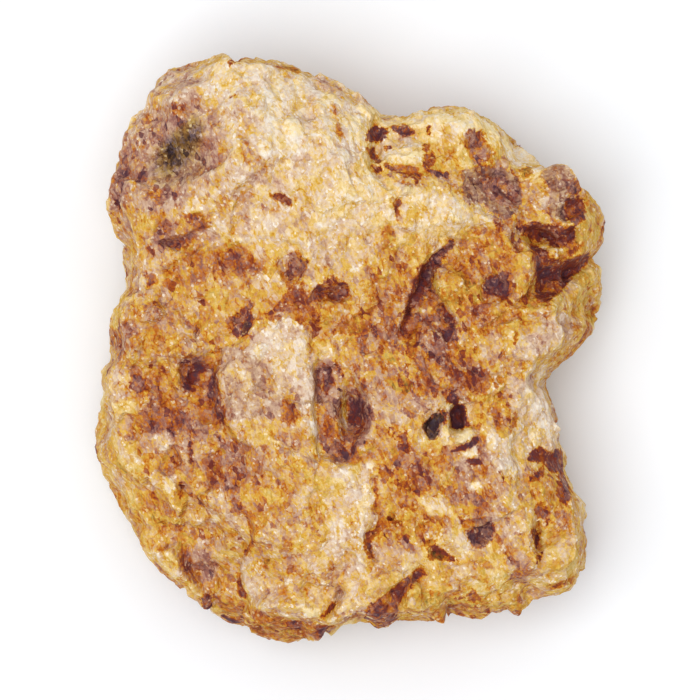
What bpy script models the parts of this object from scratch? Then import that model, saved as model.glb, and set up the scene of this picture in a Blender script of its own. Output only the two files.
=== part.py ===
"""A hand specimen of labradorite feldspar: one rough, iron-stained lump lying on its broad back.

The broken face looks up (+Z), the narrower end points along +Y, and the stone rests on a flat break
at Z = 0. Plan positions and heights below are millimetres; the finished mesh is in metres.
"""

import math

import bmesh
import bpy
import numpy as np

MM = 0.001
NODE = "labradorite_specimen"

GRID = 170  # squares along each side of the two sheets that the stone is formed from
TRIANGLES = 9400  # faces left once the flat breaks are joined up
SEED = 11

# The outline seen from above, anticlockwise from the right-hand end, in millimetres.
OUTLINE = [
    (50.4, 8.8), (50.4, 16.4), (49.2, 17.6), (49.2, 18.6), (50.8, 21.2), (51.2, 24.4),
    (50.8, 26.8), (49.8, 28.8), (48.0, 31.2), (45.8, 33.0), (43.4, 36.6), (41.2, 37.4),
    (39.0, 37.0), (35.4, 40.0), (32.0, 43.2), (30.0, 45.0), (25.0, 47.4), (22.8, 48.4),
    (16.2, 48.8), (13.8, 47.8), (10.8, 46.6), (8.0, 47.0), (6.0, 47.6), (4.4, 49.6),
    (2.2, 51.2), (-2.8, 53.8), (-10.0, 56.4), (-15.0, 58.0), (-19.2, 58.8), (-22.6, 57.8),
    (-25.2, 59.2), (-27.8, 58.2), (-31.0, 57.4), (-35.8, 56.2), (-38.6, 53.6), (-39.8, 51.6),
    (-41.2, 48.0), (-44.0, 45.8), (-45.2, 42.2), (-46.6, 37.0), (-48.8, 28.0), (-47.0, 22.4),
    (-45.8, 20.2), (-45.0, 12.6), (-46.4, 9.6), (-48.0, 7.0), (-48.4, -1.4), (-50.2, -4.2),
    (-49.8, -9.4), (-50.8, -12.6), (-51.2, -19.4), (-49.0, -26.6), (-47.2, -29.8), (-43.0, -37.0),
    (-40.6, -41.2), (-37.2, -45.0), (-33.0, -48.6), (-27.6, -52.8), (-23.8, -55.2), (-22.0, -55.4),
    (-16.8, -58.0), (-12.2, -58.8), (-7.8, -58.2), (-3.6, -57.6), (-1.4, -55.8), (2.4, -54.8),
    (5.4, -56.2), (7.6, -56.0), (9.4, -54.6), (12.6, -54.6), (19.0, -54.4), (20.4, -53.2),
    (25.8, -54.0), (28.2, -52.8), (31.8, -52.6), (33.2, -53.4), (34.6, -52.6), (36.6, -50.2),
    (41.4, -49.0), (44.4, -48.0), (47.4, -43.4), (48.0, -39.8), (47.2, -35.2), (47.8, -31.2),
    (46.2, -29.4), (43.6, -23.8), (43.8, -21.4), (42.4, -18.4), (41.6, -13.0), (40.4, -9.4),
    (39.4, -7.4), (39.6, -6.0), (41.6, -3.8), (45.6, -0.2), (48.8, 3.4),
]

# Height of the broken face at chosen spots: x, y, height.
FACE_SPOTS = [
    (-24, 40, 45.5),  # crown of the upper dome
    (-8, 36, 44.5),
    (-40, 26, 39.0),
    (-12, 20, 42.5),
    (-34, 8, 38.5),
    (-16, -2, 42.0),  # pale block left of the middle
    (-34, -10, 37.5),
    (-44, -20, 35.0),
    (-34, -34, 36.0),
    (-28, -48, 33.0),
    (-12, -46, 39.5),  # rounded block at the foot
    (-8, -28, 41.0),
    (3, -12, 38.0),
    (6, -34, 40.5),
    (12, 30, 42.5),  # pale ridge
    (22, 40, 38.5),  # shelf behind the ridge
    (34, 34, 37.0),
    (14, 10, 37.0),  # foot of the steep face
    (24, 12, 40.0),
    (28, -4, 39.5),
    (40, 20, 36.5),
    (44, 6, 35.0),
    (22, -20, 41.0),
    (36, -20, 38.0),
    (26, -40, 40.0),
    (42, -42, 35.5),
    (8, -50, 37.5),
]
SPOT_REACH = 8.5  # how far one spot's height spreads

# Height of the back below the girdle at chosen spots; what would sink below zero is the resting break.
BACK_SPOTS = [
    (0, 0, -1.6),
    (-22, 30, -1.2),
    (20, 30, -0.8),
    (-30, -20, -1.2),
    (26, -26, -1.4),
    (0, -40, -0.6),
    (-42, 10, 2.5),
    (42, 10, 3.5),
    (-10, 50, 2.0),
    (-38, -44, 5.0),
    (36, -46, 3.0),
    (44, 28, 5.0),
    (-40, 44, 5.0),
]

# Height of the widest line round the stone: bearing in degrees, height.
GIRDLE = [
    (0, 15.0),
    (25, 21.0),
    (50, 18.0),
    (80, 22.0),
    (105, 17.0),
    (135, 24.0),
    (160, 17.0),
    (185, 20.0),
    (215, 14.0),
    (245, 20.0),
    (270, 14.0),
    (300, 21.0),
    (330, 17.0),
]

# Flat breaks that slope from the face and from the back to the rim: bearing, height at the rim, slope.
UPPER_BREAKS = [
    (18, 24, 1.3),
    (40, 26, 1.8),
    (62, 30, 1.2),
    (118, 33, 1.1),
    (172, 26, 1.5),
    (226, 25, 1.0),
    (282, 28, 1.3),
    (340, 27, 1.2),
]
LOWER_BREAKS = [
    (5, 11, 0.7),
    (55, 14, 1.0),
    (98, 9, 0.45),
    (140, 17, 1.1),
    (196, 10, 0.6),
    (238, 15, 1.0),
    (290, 9, 0.5),
    (330, 14, 0.9),
]

# Rounded swellings and hollows of the face: x, y, half length, half width, turn in degrees, height.
SWELLS = [
    (-21, 38, 26, 15, -20, 1.6),  # upper dome
    (-13, -44, 11, 8, -15, 1.2),  # block at the foot
    (35.6, 15.5, 2.4, 7.5, 8, 0.9),  # thin crest beside the cavity
    (22, 13, 5, 6, 20, 0.6),  # granular shoulder
    (47, 24, 3.2, 7.5, 5, 1.6),  # crust on the outer edge of the lobe
    (0.8, -12.2, 3.4, 7.0, 4, -4.6),  # deepest pit
    (-1.4, -19.5, 3.4, 4.0, 10, -2.0),
    (-34.5, 36.5, 8.5, 6.5, 40, -2.2),  # dark hollow in the dome
    (41.4, 14.2, 6.8, 4.4, 30, -7.0),  # cavity
    (46, 17.2, 4.4, 2.2, 38, -3.0),  # its tail
    (39, 22.5, 4.6, 3.0, 10, -3.6),  # recess above it
    (44.4, 28, 2.9, 3.3, 0, -3.0),  # round hollow near the edge
    (21.2, -13.8, 2.6, 3.8, 10, -3.6),
    (16, -14.2, 2.8, 3.0, 0, -2.0),
    (-30, -5.2, 4.2, 3.2, -30, -2.6),
    (-4, 10.8, 5.2, 2.6, 8, -3.2),
    (-11.5, 16.6, 3.2, 3.4, 0, -2.0),
    (-24, 18, 5.0, 3.6, -10, -1.4),
    (29.5, 12.2, 3.8, 3.6, 0, -2.6),
    (28, 31.5, 7.0, 5.6, 0, -1.2),
    (25, 40, 3.6, 3.4, 0, -1.0),
    (-29.5, -43.5, 4.6, 3.6, 10, -1.6),
    (-24.5, -53.5, 4.6, 1.9, -35, -2.8),
    (-4.6, -56.0, 3.2, 1.8, 10, -2.8),
    (37.2, -37.5, 1.4, 3.6, 5, -2.4),
    (41.5, -23, 4.2, 3.0, -50, -2.0),
]

# Straight-sided blocks and sunk pockets of the face: corners anticlockwise, height.
SLABS = [
    ([(-25.6, -0.4), (-25.2, -14), (-19, -25), (-6.6, -22), (-7.6, 3), (-14, 7.2), (-20.4, 1)], 1.0),
    ([(7, 34), (5.6, 26), (12, 22.4), (24, 24.4), (31, 25.2), (20, 31)], 0.9),
    ([(-7.6, -4), (-6.6, -20), (-3, -23), (1.5, -20), (4.4, -9), (-1.4, -2.6)], -1.2),
    ([(36, -28), (37.2, -49), (48, -49), (49, -28)], -1.0),
    ([(31, -12), (33, -28), (42, -22), (40, -8)], -1.0),
    ([(-40, -2), (-39, -16), (-26.5, -15), (-25.8, 0)], -1.0),
    ([(-50, 6), (-45, -4), (-30, -2), (-30, 7.5), (-38, 10)], 1.0),
    ([(-12, 42), (-1.5, 36), (5.5, 40), (3, 49), (-14, 52)], 0.8),
    ([(12, -42), (8, -52), (30, -53), (33, -46), (24, -42)], 0.9),
    ([(24, 6), (26, -6), (39, -4), (47, 4), (40, 9), (30, 9)], 1.0),
    ([(19.6, -19.8), (25.2, -18.0), (25.2, -15.2), (22.0, -15.6)], 1.1),  # bright flake
    ([(19.4, -16.0), (23.4, -15.2), (22.6, -11.0), (19.0, -11.4)], -1.4),  # black grain above it
    ([(15.0, -17.6), (17.8, -16.6), (18.6, -11.8), (14.2, -13.6)], -0.9),
    ([(5.0, 42.4), (6.2, 36.4), (14.2, 36.6), (14.4, 41.8), (10.0, 42.6)], 0.7),  # white block on the shelf
]

# Ledges of the face, with the low ground on the right hand: points along the edge, drop, reach.
LEDGES = [
    ([(9, 30), (4.6, 34), (3.4, 41), (4.6, 49)], 2.2, 12),  # dome above the shelf
    ([(5, 20), (11, 21), (17.4, 22.4), (24, 24.6), (30, 25)], 1.2, 6),  # foot of the pale ridge
    ([(8.6, 2), (10.6, 7.6), (12.8, 13.4), (15.4, 18.4), (20.6, 21.6)], 3.6, 7),  # gash
    ([(16.0, 17), (18.8, 10.6), (21.2, 5), (19.6, -4)], 1.9, 6),  # granular shoulder above the gash
    ([(-17, 8), (-21, 1.4), (-25.6, -0.6), (-25.6, -12), (-24, -17)], 2.0, 8),  # left edge of the pale block
    ([(-6, -22), (-7.4, -12), (-7.8, -4), (-5, 1)], 1.8, 5),  # its right edge
    (
        [
            (-22.4, -30), (-19.4, -33.6), (-19, -36), (-19.6, -40), (-21.8, -43),
            (-21.8, -47), (-19, -51), (-8, -53.4), (0, -54),
        ],
        2.6,
        7,
    ),  # block at the foot
    ([(34, -52), (35, -45), (36.8, -40), (36.4, -34), (38, -30)], 2.0, 10),  # lower right slab
    ([(3.6, -46), (3, -40), (3.4, -36.8), (8, -34.2), (5, -32), (5, -26)], 1.4, 6),
    ([(32, 8), (36.8, 14), (37.2, 18), (35.6, 22)], 2.6, 6),  # crest above the cavity
    ([(33, 25.4), (39, 24), (42, 23), (47, 25)], 2.4, 5),  # lip above the recess
    ([(6, 46), (0, 50), (-6, 53.4), (-16, 57)], 1.8, 5),  # rim of the dome
    ([(-51, -18), (-47.4, -27), (-42, -37), (-36, -44), (-28, -50)], 2.6, 5),  # bevel along the lower left
    ([(-50, 5.5), (-42, 6.6), (-34, 5.8)], 1.2, 7),
    ([(8, -50), (14, -51.5), (22, -51), (30, -50.5)], 1.8, 4),
    ([(24, 4), (31, 7.5), (40, 7.4), (49, 10)], 1.6, 7),
    ([(12, 4), (17, -6), (24, -10), (31, -8), (38, -6)], 1.6, 8),
    ([(-48, 24), (-40, 21.6), (-30, 24), (-22, 22), (-15, 24)], 1.4, 8),
]
# Cracks and narrow grooves of the face: points along it, half width, depth.
GROOVES = [
    ([(14.2, -43.4), (10.8, -46.4), (8.2, -49.4), (6.6, -54.0)], 2.6, 3.4),
    ([(-2.5, -47.8), (-3.8, -51), (-6.8, -53.6)], 1.4, 2.2),
    ([(9.2, 30.8), (9.2, 25.6)], 1.4, 1.4),
    ([(49.5, 18.2), (46.5, 16.5), (43, 14.5)], 1.8, 2.4),
    ([(-33.4, -27), (-33.2, -30.2)], 1.3, 1.2),
    ([(5.0, 44), (5.6, 36), (12, 35), (20, 34)], 1.6, 1.2),
    ([(4.6, -25), (5.2, -31), (5.8, -33.4)], 0.9, 1.0),
    ([(9.0, -33.2), (5.6, -35.4), (3.2, -37.4), (3.4, -39.4), (4.4, -41.6)], 1.2, 1.5),
    ([(15.4, -39.6), (18.0, -41.0), (21.4, -41.8)], 1.0, 1.0),
    ([(28.2, -20.6), (29.8, -25.4)], 0.8, 0.8),
    ([(-32.0, -16), (-31.4, -19), (-31.2, -22)], 0.9, 0.9),
    ([(-4.0, 48.6), (-3.0, 45.0), (-1.6, 40.2)], 0.9, 0.7),
    ([(-15.4, 30.4), (-11.4, 28.8)], 0.9, 0.8),
    ([(15.4, 16.0), (16.4, 12.2), (18.4, 9.4), (20.6, 6.0)], 1.0, 1.4),
]


EDGE = 1.1  # width of the steep side of a block or ledge
WARP = 0.8  # how far the edges of the relief wander
CREASE = 1.4  # width of the crease between two breaks
FANS = 360  # bearings at which the outline is matched

# Sizes of the flat breaks: size of a grain, lean of its plane, how far it stands off its neighbours.
BREAKS = [
    (26, 0.10, 0.80),
    (9, 0.20, 0.60),
    (3.2, 0.20, 0.14),
]

STONE_COLOUR = (0.56, 0.34, 0.15, 1.0)

SMOOTH_TURN = 3.5  # degrees over which the outline is evened out away from its widest line
SQUARENESS = {1: 4.8, -1: 2.8}  # how square the broken face (1) and the back (-1) are at their edge
DOME_ASPECT = 0.5  # height of a sheet against its radius
CORNER_HEIGHT = 6.0  # how far up and down a corner of the outline reaches
FIRST_SMALL_BREAK = 3.2  # breaks from this size down follow the relief of the face
PUSH_LIMIT = 0.12  # farthest that a break moves a point, as a share of the size of its grains
UNEVEN = 0.25  # height of the gentle unevenness over all


def scramble(cell, seed):
    """A repeatable number from 0 to 1 for each lattice cell."""
    mask = 0xFFFFFFFF
    mixed = cell[..., 0] * 73856093 ^ cell[..., 1] * 19349663 ^ cell[..., 2] * 83492791
    mixed = (mixed + seed * 2654435761) & mask
    mixed = ((mixed ^ (mixed >> 15)) * 2246822519) & mask
    mixed = ((mixed ^ (mixed >> 13)) * 3266489917) & mask
    return (mixed ^ (mixed >> 16)) / mask


def waves(points, size, seed):
    """Smooth random heights from -1 to 1 that change over about one size."""
    scaled = points / size
    cell = np.floor(scaled).astype(np.int64)
    part = scaled - cell
    fade = part * part * (3 - 2 * part)
    total = np.zeros(len(points))
    for corner in np.ndindex(2, 2, 2):
        shift = np.array(corner)
        weight = np.prod(np.where(shift, fade, 1 - fade), axis=1)
        total += weight * scramble(cell + shift, seed)
    return total * 2 - 1


def rough(points, size, seed):
    """Three sizes of waves laid over each other, each half as high as the one before."""
    total = waves(points, size, seed)
    total += waves(points, size / 2, seed + 1) / 2
    return total + waves(points, size / 4, seed + 2) / 4


def turn_points(points, seed):
    """The points turned about two axes by angles that depend on the seed."""
    a, b = seed * 1.3, seed * 2.1
    about_z = np.array([[math.cos(a), -math.sin(a), 0], [math.sin(a), math.cos(a), 0], [0, 0, 1]])
    about_x = np.array([[1, 0, 0], [0, math.cos(b), -math.sin(b)], [0, math.sin(b), math.cos(b)]])
    return points @ about_z @ about_x


def smooth_step(share):
    """Eases a share from 0 to 1 with level ends."""
    share = np.clip(share, 0, 1)
    return share * share * (3 - 2 * share)


def blend_spots(x, y, spots, reach):
    """Mean of the spot heights, each weighted by a bell curve of its distance."""
    total = np.zeros(len(x))
    weights = np.zeros(len(x))
    for spot_x, spot_y, height in spots:
        weight = np.exp(-((x - spot_x) ** 2 + (y - spot_y) ** 2) / (2 * reach**2)) + 1e-9
        total += weight * height
        weights += weight
    return total / weights


def swell(x, y, middle_x, middle_y, half_length, half_width, turn, height):
    """An oval bump: height times (1 - q squared) to the power 1.5, where q is 1 on the oval's rim."""
    angle = math.radians(turn)
    along = ((x - middle_x) * math.cos(angle) + (y - middle_y) * math.sin(angle)) / half_length
    across = ((y - middle_y) * math.cos(angle) - (x - middle_x) * math.sin(angle)) / half_width
    inside = np.clip(1 - along**2 - across**2, 0, 1)
    return height * inside * np.sqrt(inside)


def slab(x, y, corners, height):
    """A block with straight sides: as high as the distance inside the nearest side allows."""
    inside = np.full(len(x), 1e3)
    for (ax, ay), (bx, by) in zip(corners, corners[1:] + corners[:1]):
        length = math.hypot(bx - ax, by - ay)
        inside = np.minimum(inside, ((bx - ax) * (y - ay) - (by - ay) * (x - ax)) / length)
    return height * np.clip(inside / EDGE, 0, 1)


def along_route(x, y, route):
    """Distance to a route of straight runs, negative on its left, and how far along the nearest point is."""
    nearest = np.full(len(x), 1e3)
    side = np.ones(len(x))
    place = np.zeros(len(x))
    travelled = 0.0
    for (ax, ay), (bx, by) in zip(route, route[1:]):
        run_x, run_y = bx - ax, by - ay
        length = math.hypot(run_x, run_y)
        share = np.clip(((x - ax) * run_x + (y - ay) * run_y) / length**2, 0, 1)
        distance = np.hypot(x - ax - share * run_x, y - ay - share * run_y)
        closer = distance < nearest
        nearest = np.where(closer, distance, nearest)
        turn = run_y * (x - ax) - run_x * (y - ay)
        side = np.where(closer, np.sign(turn), side)
        place = np.where(closer, travelled + share * length, place)
        travelled += length
    return nearest * side, place / travelled


def ledge(x, y, route, drop, reach):
    """A step down to the right of a route, healing over its reach and towards both ends."""
    distance, place = along_route(x, y, route)
    ends = 1 - np.abs(2 * place - 1) ** 6
    fall = np.clip(distance / EDGE, 0, 1) * np.clip(1 - distance / reach, 0, 1)
    return -drop * ends * fall


def groove(x, y, route, half_width, depth):
    """A V-shaped cut along a route."""
    distance, _ = along_route(x, y, route)
    return -depth * np.clip(1 - np.abs(distance) / half_width, 0, 1)


def face_relief(x, y):
    """Blocks, ledges, hollows and cracks of the broken face, with wandering edges."""
    flat = np.stack([x, y, np.zeros(len(x))], axis=1)
    x = x + WARP * rough(flat, 6.0, SEED + 20)
    y = y + WARP * rough(flat, 6.0, SEED + 30)
    height = np.zeros(len(x))
    for row in SWELLS:
        height += swell(x, y, *row)
    for row in SLABS:
        height += slab(x, y, *row)
    for row in LEDGES:
        height += ledge(x, y, *row)
    for row in GROOVES:
        height += groove(x, y, *row)
    return height


def girdle_height(bearing):
    """Height of the widest line of the stone at each bearing."""
    degrees = [row[0] for row in GIRDLE] + [GIRDLE[0][0] + 360]
    heights = [row[1] for row in GIRDLE] + [GIRDLE[0][1]]
    return np.interp(np.degrees(bearing) % 360, degrees, heights)


def outline_radius(bearing):
    """Distance from the middle to the outline at each bearing."""
    corners = np.array(OUTLINE)
    angles = np.arctan2(corners[:, 1], corners[:, 0])
    order = np.argsort(angles)
    return np.interp(bearing, angles[order], np.hypot(*corners.T)[order], period=2 * math.pi)


def smooth_radius(bearing):
    """The outline with its small notches evened out: the mean over a fan of bearings."""
    fan = np.radians(np.linspace(-SMOOTH_TURN, SMOOTH_TURN, 9))
    return np.mean([outline_radius(bearing + turn) for turn in fan], axis=0)


def cut_by_breaks(x, y, height, breaks, side):
    """Trims the height to flat breaks, each rising or falling evenly inwards from its place on the rim."""
    corners = np.array(OUTLINE)
    for bearing, rim_height, slope in breaks:
        across, up = math.cos(math.radians(bearing)), math.sin(math.radians(bearing))
        farthest = (corners @ (across, up)).max()
        inward = farthest - x * across - y * up
        plane = rim_height + side * slope * inward
        height = np.minimum(height, plane) if side > 0 else np.maximum(height, plane)
    return height


def to_disc(squares):
    """Bends a square sheet into a disc, ring by ring; returns the share of the way out and the bearing."""
    steps = np.linspace(-1, 1, squares + 1)
    a, b = np.meshgrid(steps, steps, indexing="ij")
    a, b = a.ravel(), b.ravel()
    wide = np.abs(a) >= np.abs(b)
    reach = np.where(wide, a, b)
    safe = np.where(reach == 0, 1.0, reach)
    bearing = np.where(wide, math.pi / 4 * b / safe, math.pi / 2 - math.pi / 4 * a / safe)
    return np.abs(reach), np.where(reach < 0, bearing + math.pi, bearing)


def profile(share, squareness):
    """Radius and level at even steps along a domed profile, where radius^n + level^n is 1."""
    turn = np.linspace(0, math.pi / 2, 800)
    radius = np.sin(turn) ** (2 / squareness)
    level = np.cos(turn) ** (2 / squareness)
    length = np.concatenate([[0], np.cumsum(np.hypot(np.diff(radius), DOME_ASPECT * np.diff(level)))])
    return np.interp(share, length / length[-1], radius), np.interp(share, length / length[-1], level)


def lay_out(share, bearing, side):
    """One plain sheet of the stone (side 1 the broken face, side -1 the back): places, directions, level."""
    radius, level = profile(share, SQUARENESS[side])
    reach = smooth_radius(bearing)
    x = radius * reach * np.cos(bearing)
    y = radius * reach * np.sin(bearing)
    girdle = girdle_height(bearing)
    spots, spread = (FACE_SPOTS, SPOT_REACH) if side > 0 else (BACK_SPOTS, 2 * SPOT_REACH)
    height = girdle + (blend_spots(x, y, spots, spread) - girdle) * level
    height = cut_by_breaks(x, y, height, UPPER_BREAKS if side > 0 else LOWER_BREAKS, side)
    outwards = np.sqrt(1 - level**2)
    direction = np.stack([outwards * np.cos(bearing), outwards * np.sin(bearing), side * level], axis=1)
    return np.stack([x, y, height], axis=1), direction, level


def leans(places, squares):
    """Outward normals, as long as the area round each point, of the face sheet and then the back sheet."""
    found = []
    for side, sheet in zip((1, -1), np.split(places, 2)):
        grid = sheet.reshape(squares + 1, squares + 1, 3)
        found.append(side * np.cross(np.gradient(grid, axis=0), np.gradient(grid, axis=1)).reshape(-1, 3))
    return np.concatenate(found)


def nearest_seeds(places, size, seed):
    """Numbers of the two nearest scattered seeds, one to each lattice cube, and both distances."""
    scaled = turn_points(places, seed) / size
    cube = np.floor(scaled).astype(np.int64)
    owners = np.zeros((2, len(places)), np.int64)
    distances = np.full((2, len(places)), np.inf)
    for shift in np.ndindex(3, 3, 3):
        cell = cube + np.array(shift) - 1
        spot = cell + np.stack([scramble(cell, seed + part) for part in range(3)], axis=1)
        distance = np.sqrt(((scaled - spot) ** 2).sum(axis=1))
        number = (cell[:, 0] * 1024 + cell[:, 1]) * 1024 + cell[:, 2]
        first = distance < distances[0]
        second = ~first & (distance < distances[1])
        distances[1] = np.where(first, distances[0], np.where(second, distance, distances[1]))
        owners[1] = np.where(first, owners[0], np.where(second, number, owners[1]))
        distances[0] = np.where(first, distance, distances[0])
        owners[0] = np.where(first, number, owners[0])
    return owners, distances * size


def flat_breaks(places, normals, directions, size, lean, step, seed):
    """Pushes every point along its direction onto the mean plane of its grain.

    A grain is all the points nearest to one scattered seed. The planes lean and stand off at random, and
    two planes blend within a crease of their common edge. Returns the places, and for each point the random
    mark and the middle of its grain.
    """
    owners, distances = nearest_seeds(places, size, seed)
    kinds, grain = np.unique(owners[0], return_inverse=True)
    count = np.bincount(grain)
    middle = np.stack([np.bincount(grain, places[:, part]) / count for part in range(3)], axis=1)
    normal = np.stack([np.bincount(grain, normals[:, part]) for part in range(3)], axis=1)
    normal /= np.linalg.norm(normal, axis=1, keepdims=True) + 1e-9
    marks = np.stack([kinds, kinds // 7, kinds % 1009], axis=1)
    chance = np.stack([scramble(marks, seed + 5 + part) for part in range(4)], axis=1) * 2 - 1
    normal += lean * chance[:, :3]
    normal /= np.linalg.norm(normal, axis=1, keepdims=True)
    middle += normal * step * chance[:, 3:]
    other = np.minimum(np.searchsorted(kinds, owners[1]), len(kinds) - 1)
    other = np.where(kinds[other] == owners[1], other, grain)
    push = np.zeros(len(places))
    own_share = 0.5 + 0.5 * np.clip((distances[1] - distances[0]) / CREASE, 0, 1)
    for near, share in ((grain, own_share), (other, 1 - own_share)):
        gap = ((middle[near] - places) * normal[near]).sum(axis=1)
        facing = np.maximum((directions * normal[near]).sum(axis=1), 0.6)
        push += share * gap / facing
    limit = PUSH_LIMIT * size
    push = limit * np.tanh(push / limit)
    return places + directions * push[:, None], scramble(marks, seed + 9)[grain], middle[grain]


def fit_outline(places):
    """Draws the stone in or out so that its outline from above is the wanted one.

    A notch runs down the whole side. A corner that stands out does so only near the height of the
    widest point.
    """
    bearing = np.arctan2(places[:, 1], places[:, 0])
    radius = np.hypot(places[:, 0], places[:, 1])
    fan = np.floor((bearing + math.pi) / (2 * math.pi) * FANS).astype(int) % FANS
    order = np.lexsort((radius, fan))
    last = np.append(fan[order][1:] != fan[order][:-1], True)
    widest = order[last]
    middle = (fan[widest] + 0.5) / FANS * 2 * math.pi - math.pi
    wide = radius[widest]
    wide = evened_round(np.maximum(wide, np.maximum(np.roll(wide, 1), np.roll(wide, -1))), 1)
    ratio = outline_radius(middle) / wide
    notch = evened_round(np.minimum(ratio, evened_round(ratio, 6)), 1)
    rows = [wide, evened_round(places[widest, 2], 2), ratio, evened_round(ratio, 12), notch]
    wide, height, exact, even, notch = (np.interp(bearing, middle, row, period=2 * math.pi) for row in rows)
    upright = np.exp(-(((places[:, 2] - height) / CORNER_HEIGHT) ** 2))
    near = smooth_step((radius / wide - 0.78) / 0.2)
    scale = even * (1 - near) + near * (upright * exact + (1 - upright) * notch)
    scale = 1 + (scale - 1) * smooth_step(radius / wide / 0.6)
    return places * np.stack([scale, scale, np.ones(len(scale))], axis=1)


def evened_round(values, reach):
    """A closed row of values, each replaced by the mean of its neighbours on both sides."""
    blend = np.ones(2 * reach + 1) / (2 * reach + 1)
    return np.convolve(np.concatenate([values[-reach:], values, values[:reach]]), blend, "valid")


def shape_stone(squares, breaks):
    """Places of the two sheets of the stone, then each point's grain mark and grain middle at every size."""
    share, bearing = to_disc(squares)
    sheets = [lay_out(share, bearing, side) for side in (1, -1)]
    places, directions, level = (np.concatenate(parts) for parts in zip(*sheets))
    grains = []
    for size, lean, step in breaks:
        if size == FIRST_SMALL_BREAK:
            places = fit_outline(places)
            places[: len(share), 2] += face_relief(*places[: len(share), :2].T) * level[: len(share)]
        normals = leans(places, squares)
        places, *grain = flat_breaks(places, normals, directions, size, lean, step, SEED + int(10 * size))
        grains.append(grain)
    places = places + directions * (UNEVEN * rough(places, 7.0, SEED + 90))[:, None]
    return fit_outline(places), grains


def clear_scene():
    """Removes whatever objects the file holds."""
    for item in list(bpy.data.objects):
        bpy.data.objects.remove(item, do_unlink=True)


def make_sheets():
    """Two square grids, one for the face and one for the back, laid out and sewn along their rim."""
    places, _ = shape_stone(GRID, BREAKS)
    form = bmesh.new()
    for side, sheet_places in zip((1, -1), np.split(places, 2)):
        before = set(form.faces)
        sheet = bmesh.ops.create_grid(form, x_segments=GRID, y_segments=GRID, size=1.0)
        for vertex in sheet["verts"]:
            column = round((vertex.co.x + 1) / 2 * GRID)
            row = round((vertex.co.y + 1) / 2 * GRID)
            vertex.co = sheet_places[column * (GRID + 1) + row]
        if side < 0:
            bmesh.ops.reverse_faces(form, faces=[face for face in form.faces if face not in before])
    bmesh.ops.remove_doubles(form, verts=form.verts, dist=0.001)
    return form


def settle(places):
    """Cuts the back flat at the lowest break and centres the stone over the origin."""
    places[:, 2] = np.maximum(places[:, 2], 0)
    middle = (places.min(axis=0) + places.max(axis=0)) / 2
    places[:, :2] -= middle[:2]
    return places


def stone_material():
    """Iron-stained feldspar, rough and without metal."""
    material = bpy.data.materials.new("stained_feldspar")
    material.use_nodes = True
    shader = material.node_tree.nodes["Principled BSDF"]
    shader.inputs["Base Color"].default_value = STONE_COLOUR
    shader.inputs["Roughness"].default_value = 0.75
    shader.inputs["Metallic"].default_value = 0.0
    return material


def thin_out(stone):
    """Joins up the flat breaks until the wanted number of triangles is left."""
    stone.data.calc_loop_triangles()
    thinner = stone.modifiers.new("join_flat_breaks", "DECIMATE")
    thinner.ratio = TRIANGLES / len(stone.data.loop_triangles)
    seen = stone.evaluated_get(bpy.context.evaluated_depsgraph_get())
    thinned = bpy.data.meshes.new_from_object(seen)
    stone.modifiers.remove(thinner)
    stone.data = thinned


def build_stone():
    """The whole specimen, as one closed solid."""
    form = make_sheets()
    mesh = bpy.data.meshes.new(NODE)
    form.to_mesh(mesh)
    form.free()
    stone = bpy.data.objects.new(NODE, mesh)
    bpy.context.scene.collection.objects.link(stone)
    thin_out(stone)
    places = np.zeros(len(stone.data.vertices) * 3)
    stone.data.vertices.foreach_get("co", places)
    places = settle(places.reshape(-1, 3)) * MM
    stone.data.vertices.foreach_set("co", places.ravel())
    stone.data.update()
    stone.data.materials.clear()
    stone.data.materials.append(stone_material())


clear_scene()
build_stone()
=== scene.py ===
"""Looks of the labradorite specimen: one rough, iron-stained feldspar lump on a pale floor.

The shape and tone tables are in millimetres: plan positions from the middle of the stone, heights from
what it rests on. The broken face looks up (+Z).
"""

import math

import bpy
import numpy as np
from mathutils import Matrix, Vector


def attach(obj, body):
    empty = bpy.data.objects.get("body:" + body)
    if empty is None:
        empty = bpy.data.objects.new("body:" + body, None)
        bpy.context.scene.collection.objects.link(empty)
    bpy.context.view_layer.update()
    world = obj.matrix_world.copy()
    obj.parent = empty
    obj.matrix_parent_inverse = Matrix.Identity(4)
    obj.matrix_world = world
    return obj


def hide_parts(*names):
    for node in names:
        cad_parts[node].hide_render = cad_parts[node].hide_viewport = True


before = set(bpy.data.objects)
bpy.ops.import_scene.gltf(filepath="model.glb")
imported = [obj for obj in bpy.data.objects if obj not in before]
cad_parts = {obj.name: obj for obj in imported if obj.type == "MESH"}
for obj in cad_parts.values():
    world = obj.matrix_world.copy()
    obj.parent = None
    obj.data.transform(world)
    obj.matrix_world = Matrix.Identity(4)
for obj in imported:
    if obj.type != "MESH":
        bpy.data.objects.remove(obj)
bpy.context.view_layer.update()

MM = 0.001
NODE = "labradorite_specimen"
GRID = 420  # squares along each side of the two sheets that the stone is formed from
TRIANGLES = 196000  # faces left once the flat breaks are joined up
SEED = 11
FACING_REACH = 8  # squares over which the way a place faces is evened
FINE_REACH = 3  # squares over which small ridges and hollows are felt
BROAD_REACH = 14  # squares over which broad ones are

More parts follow.
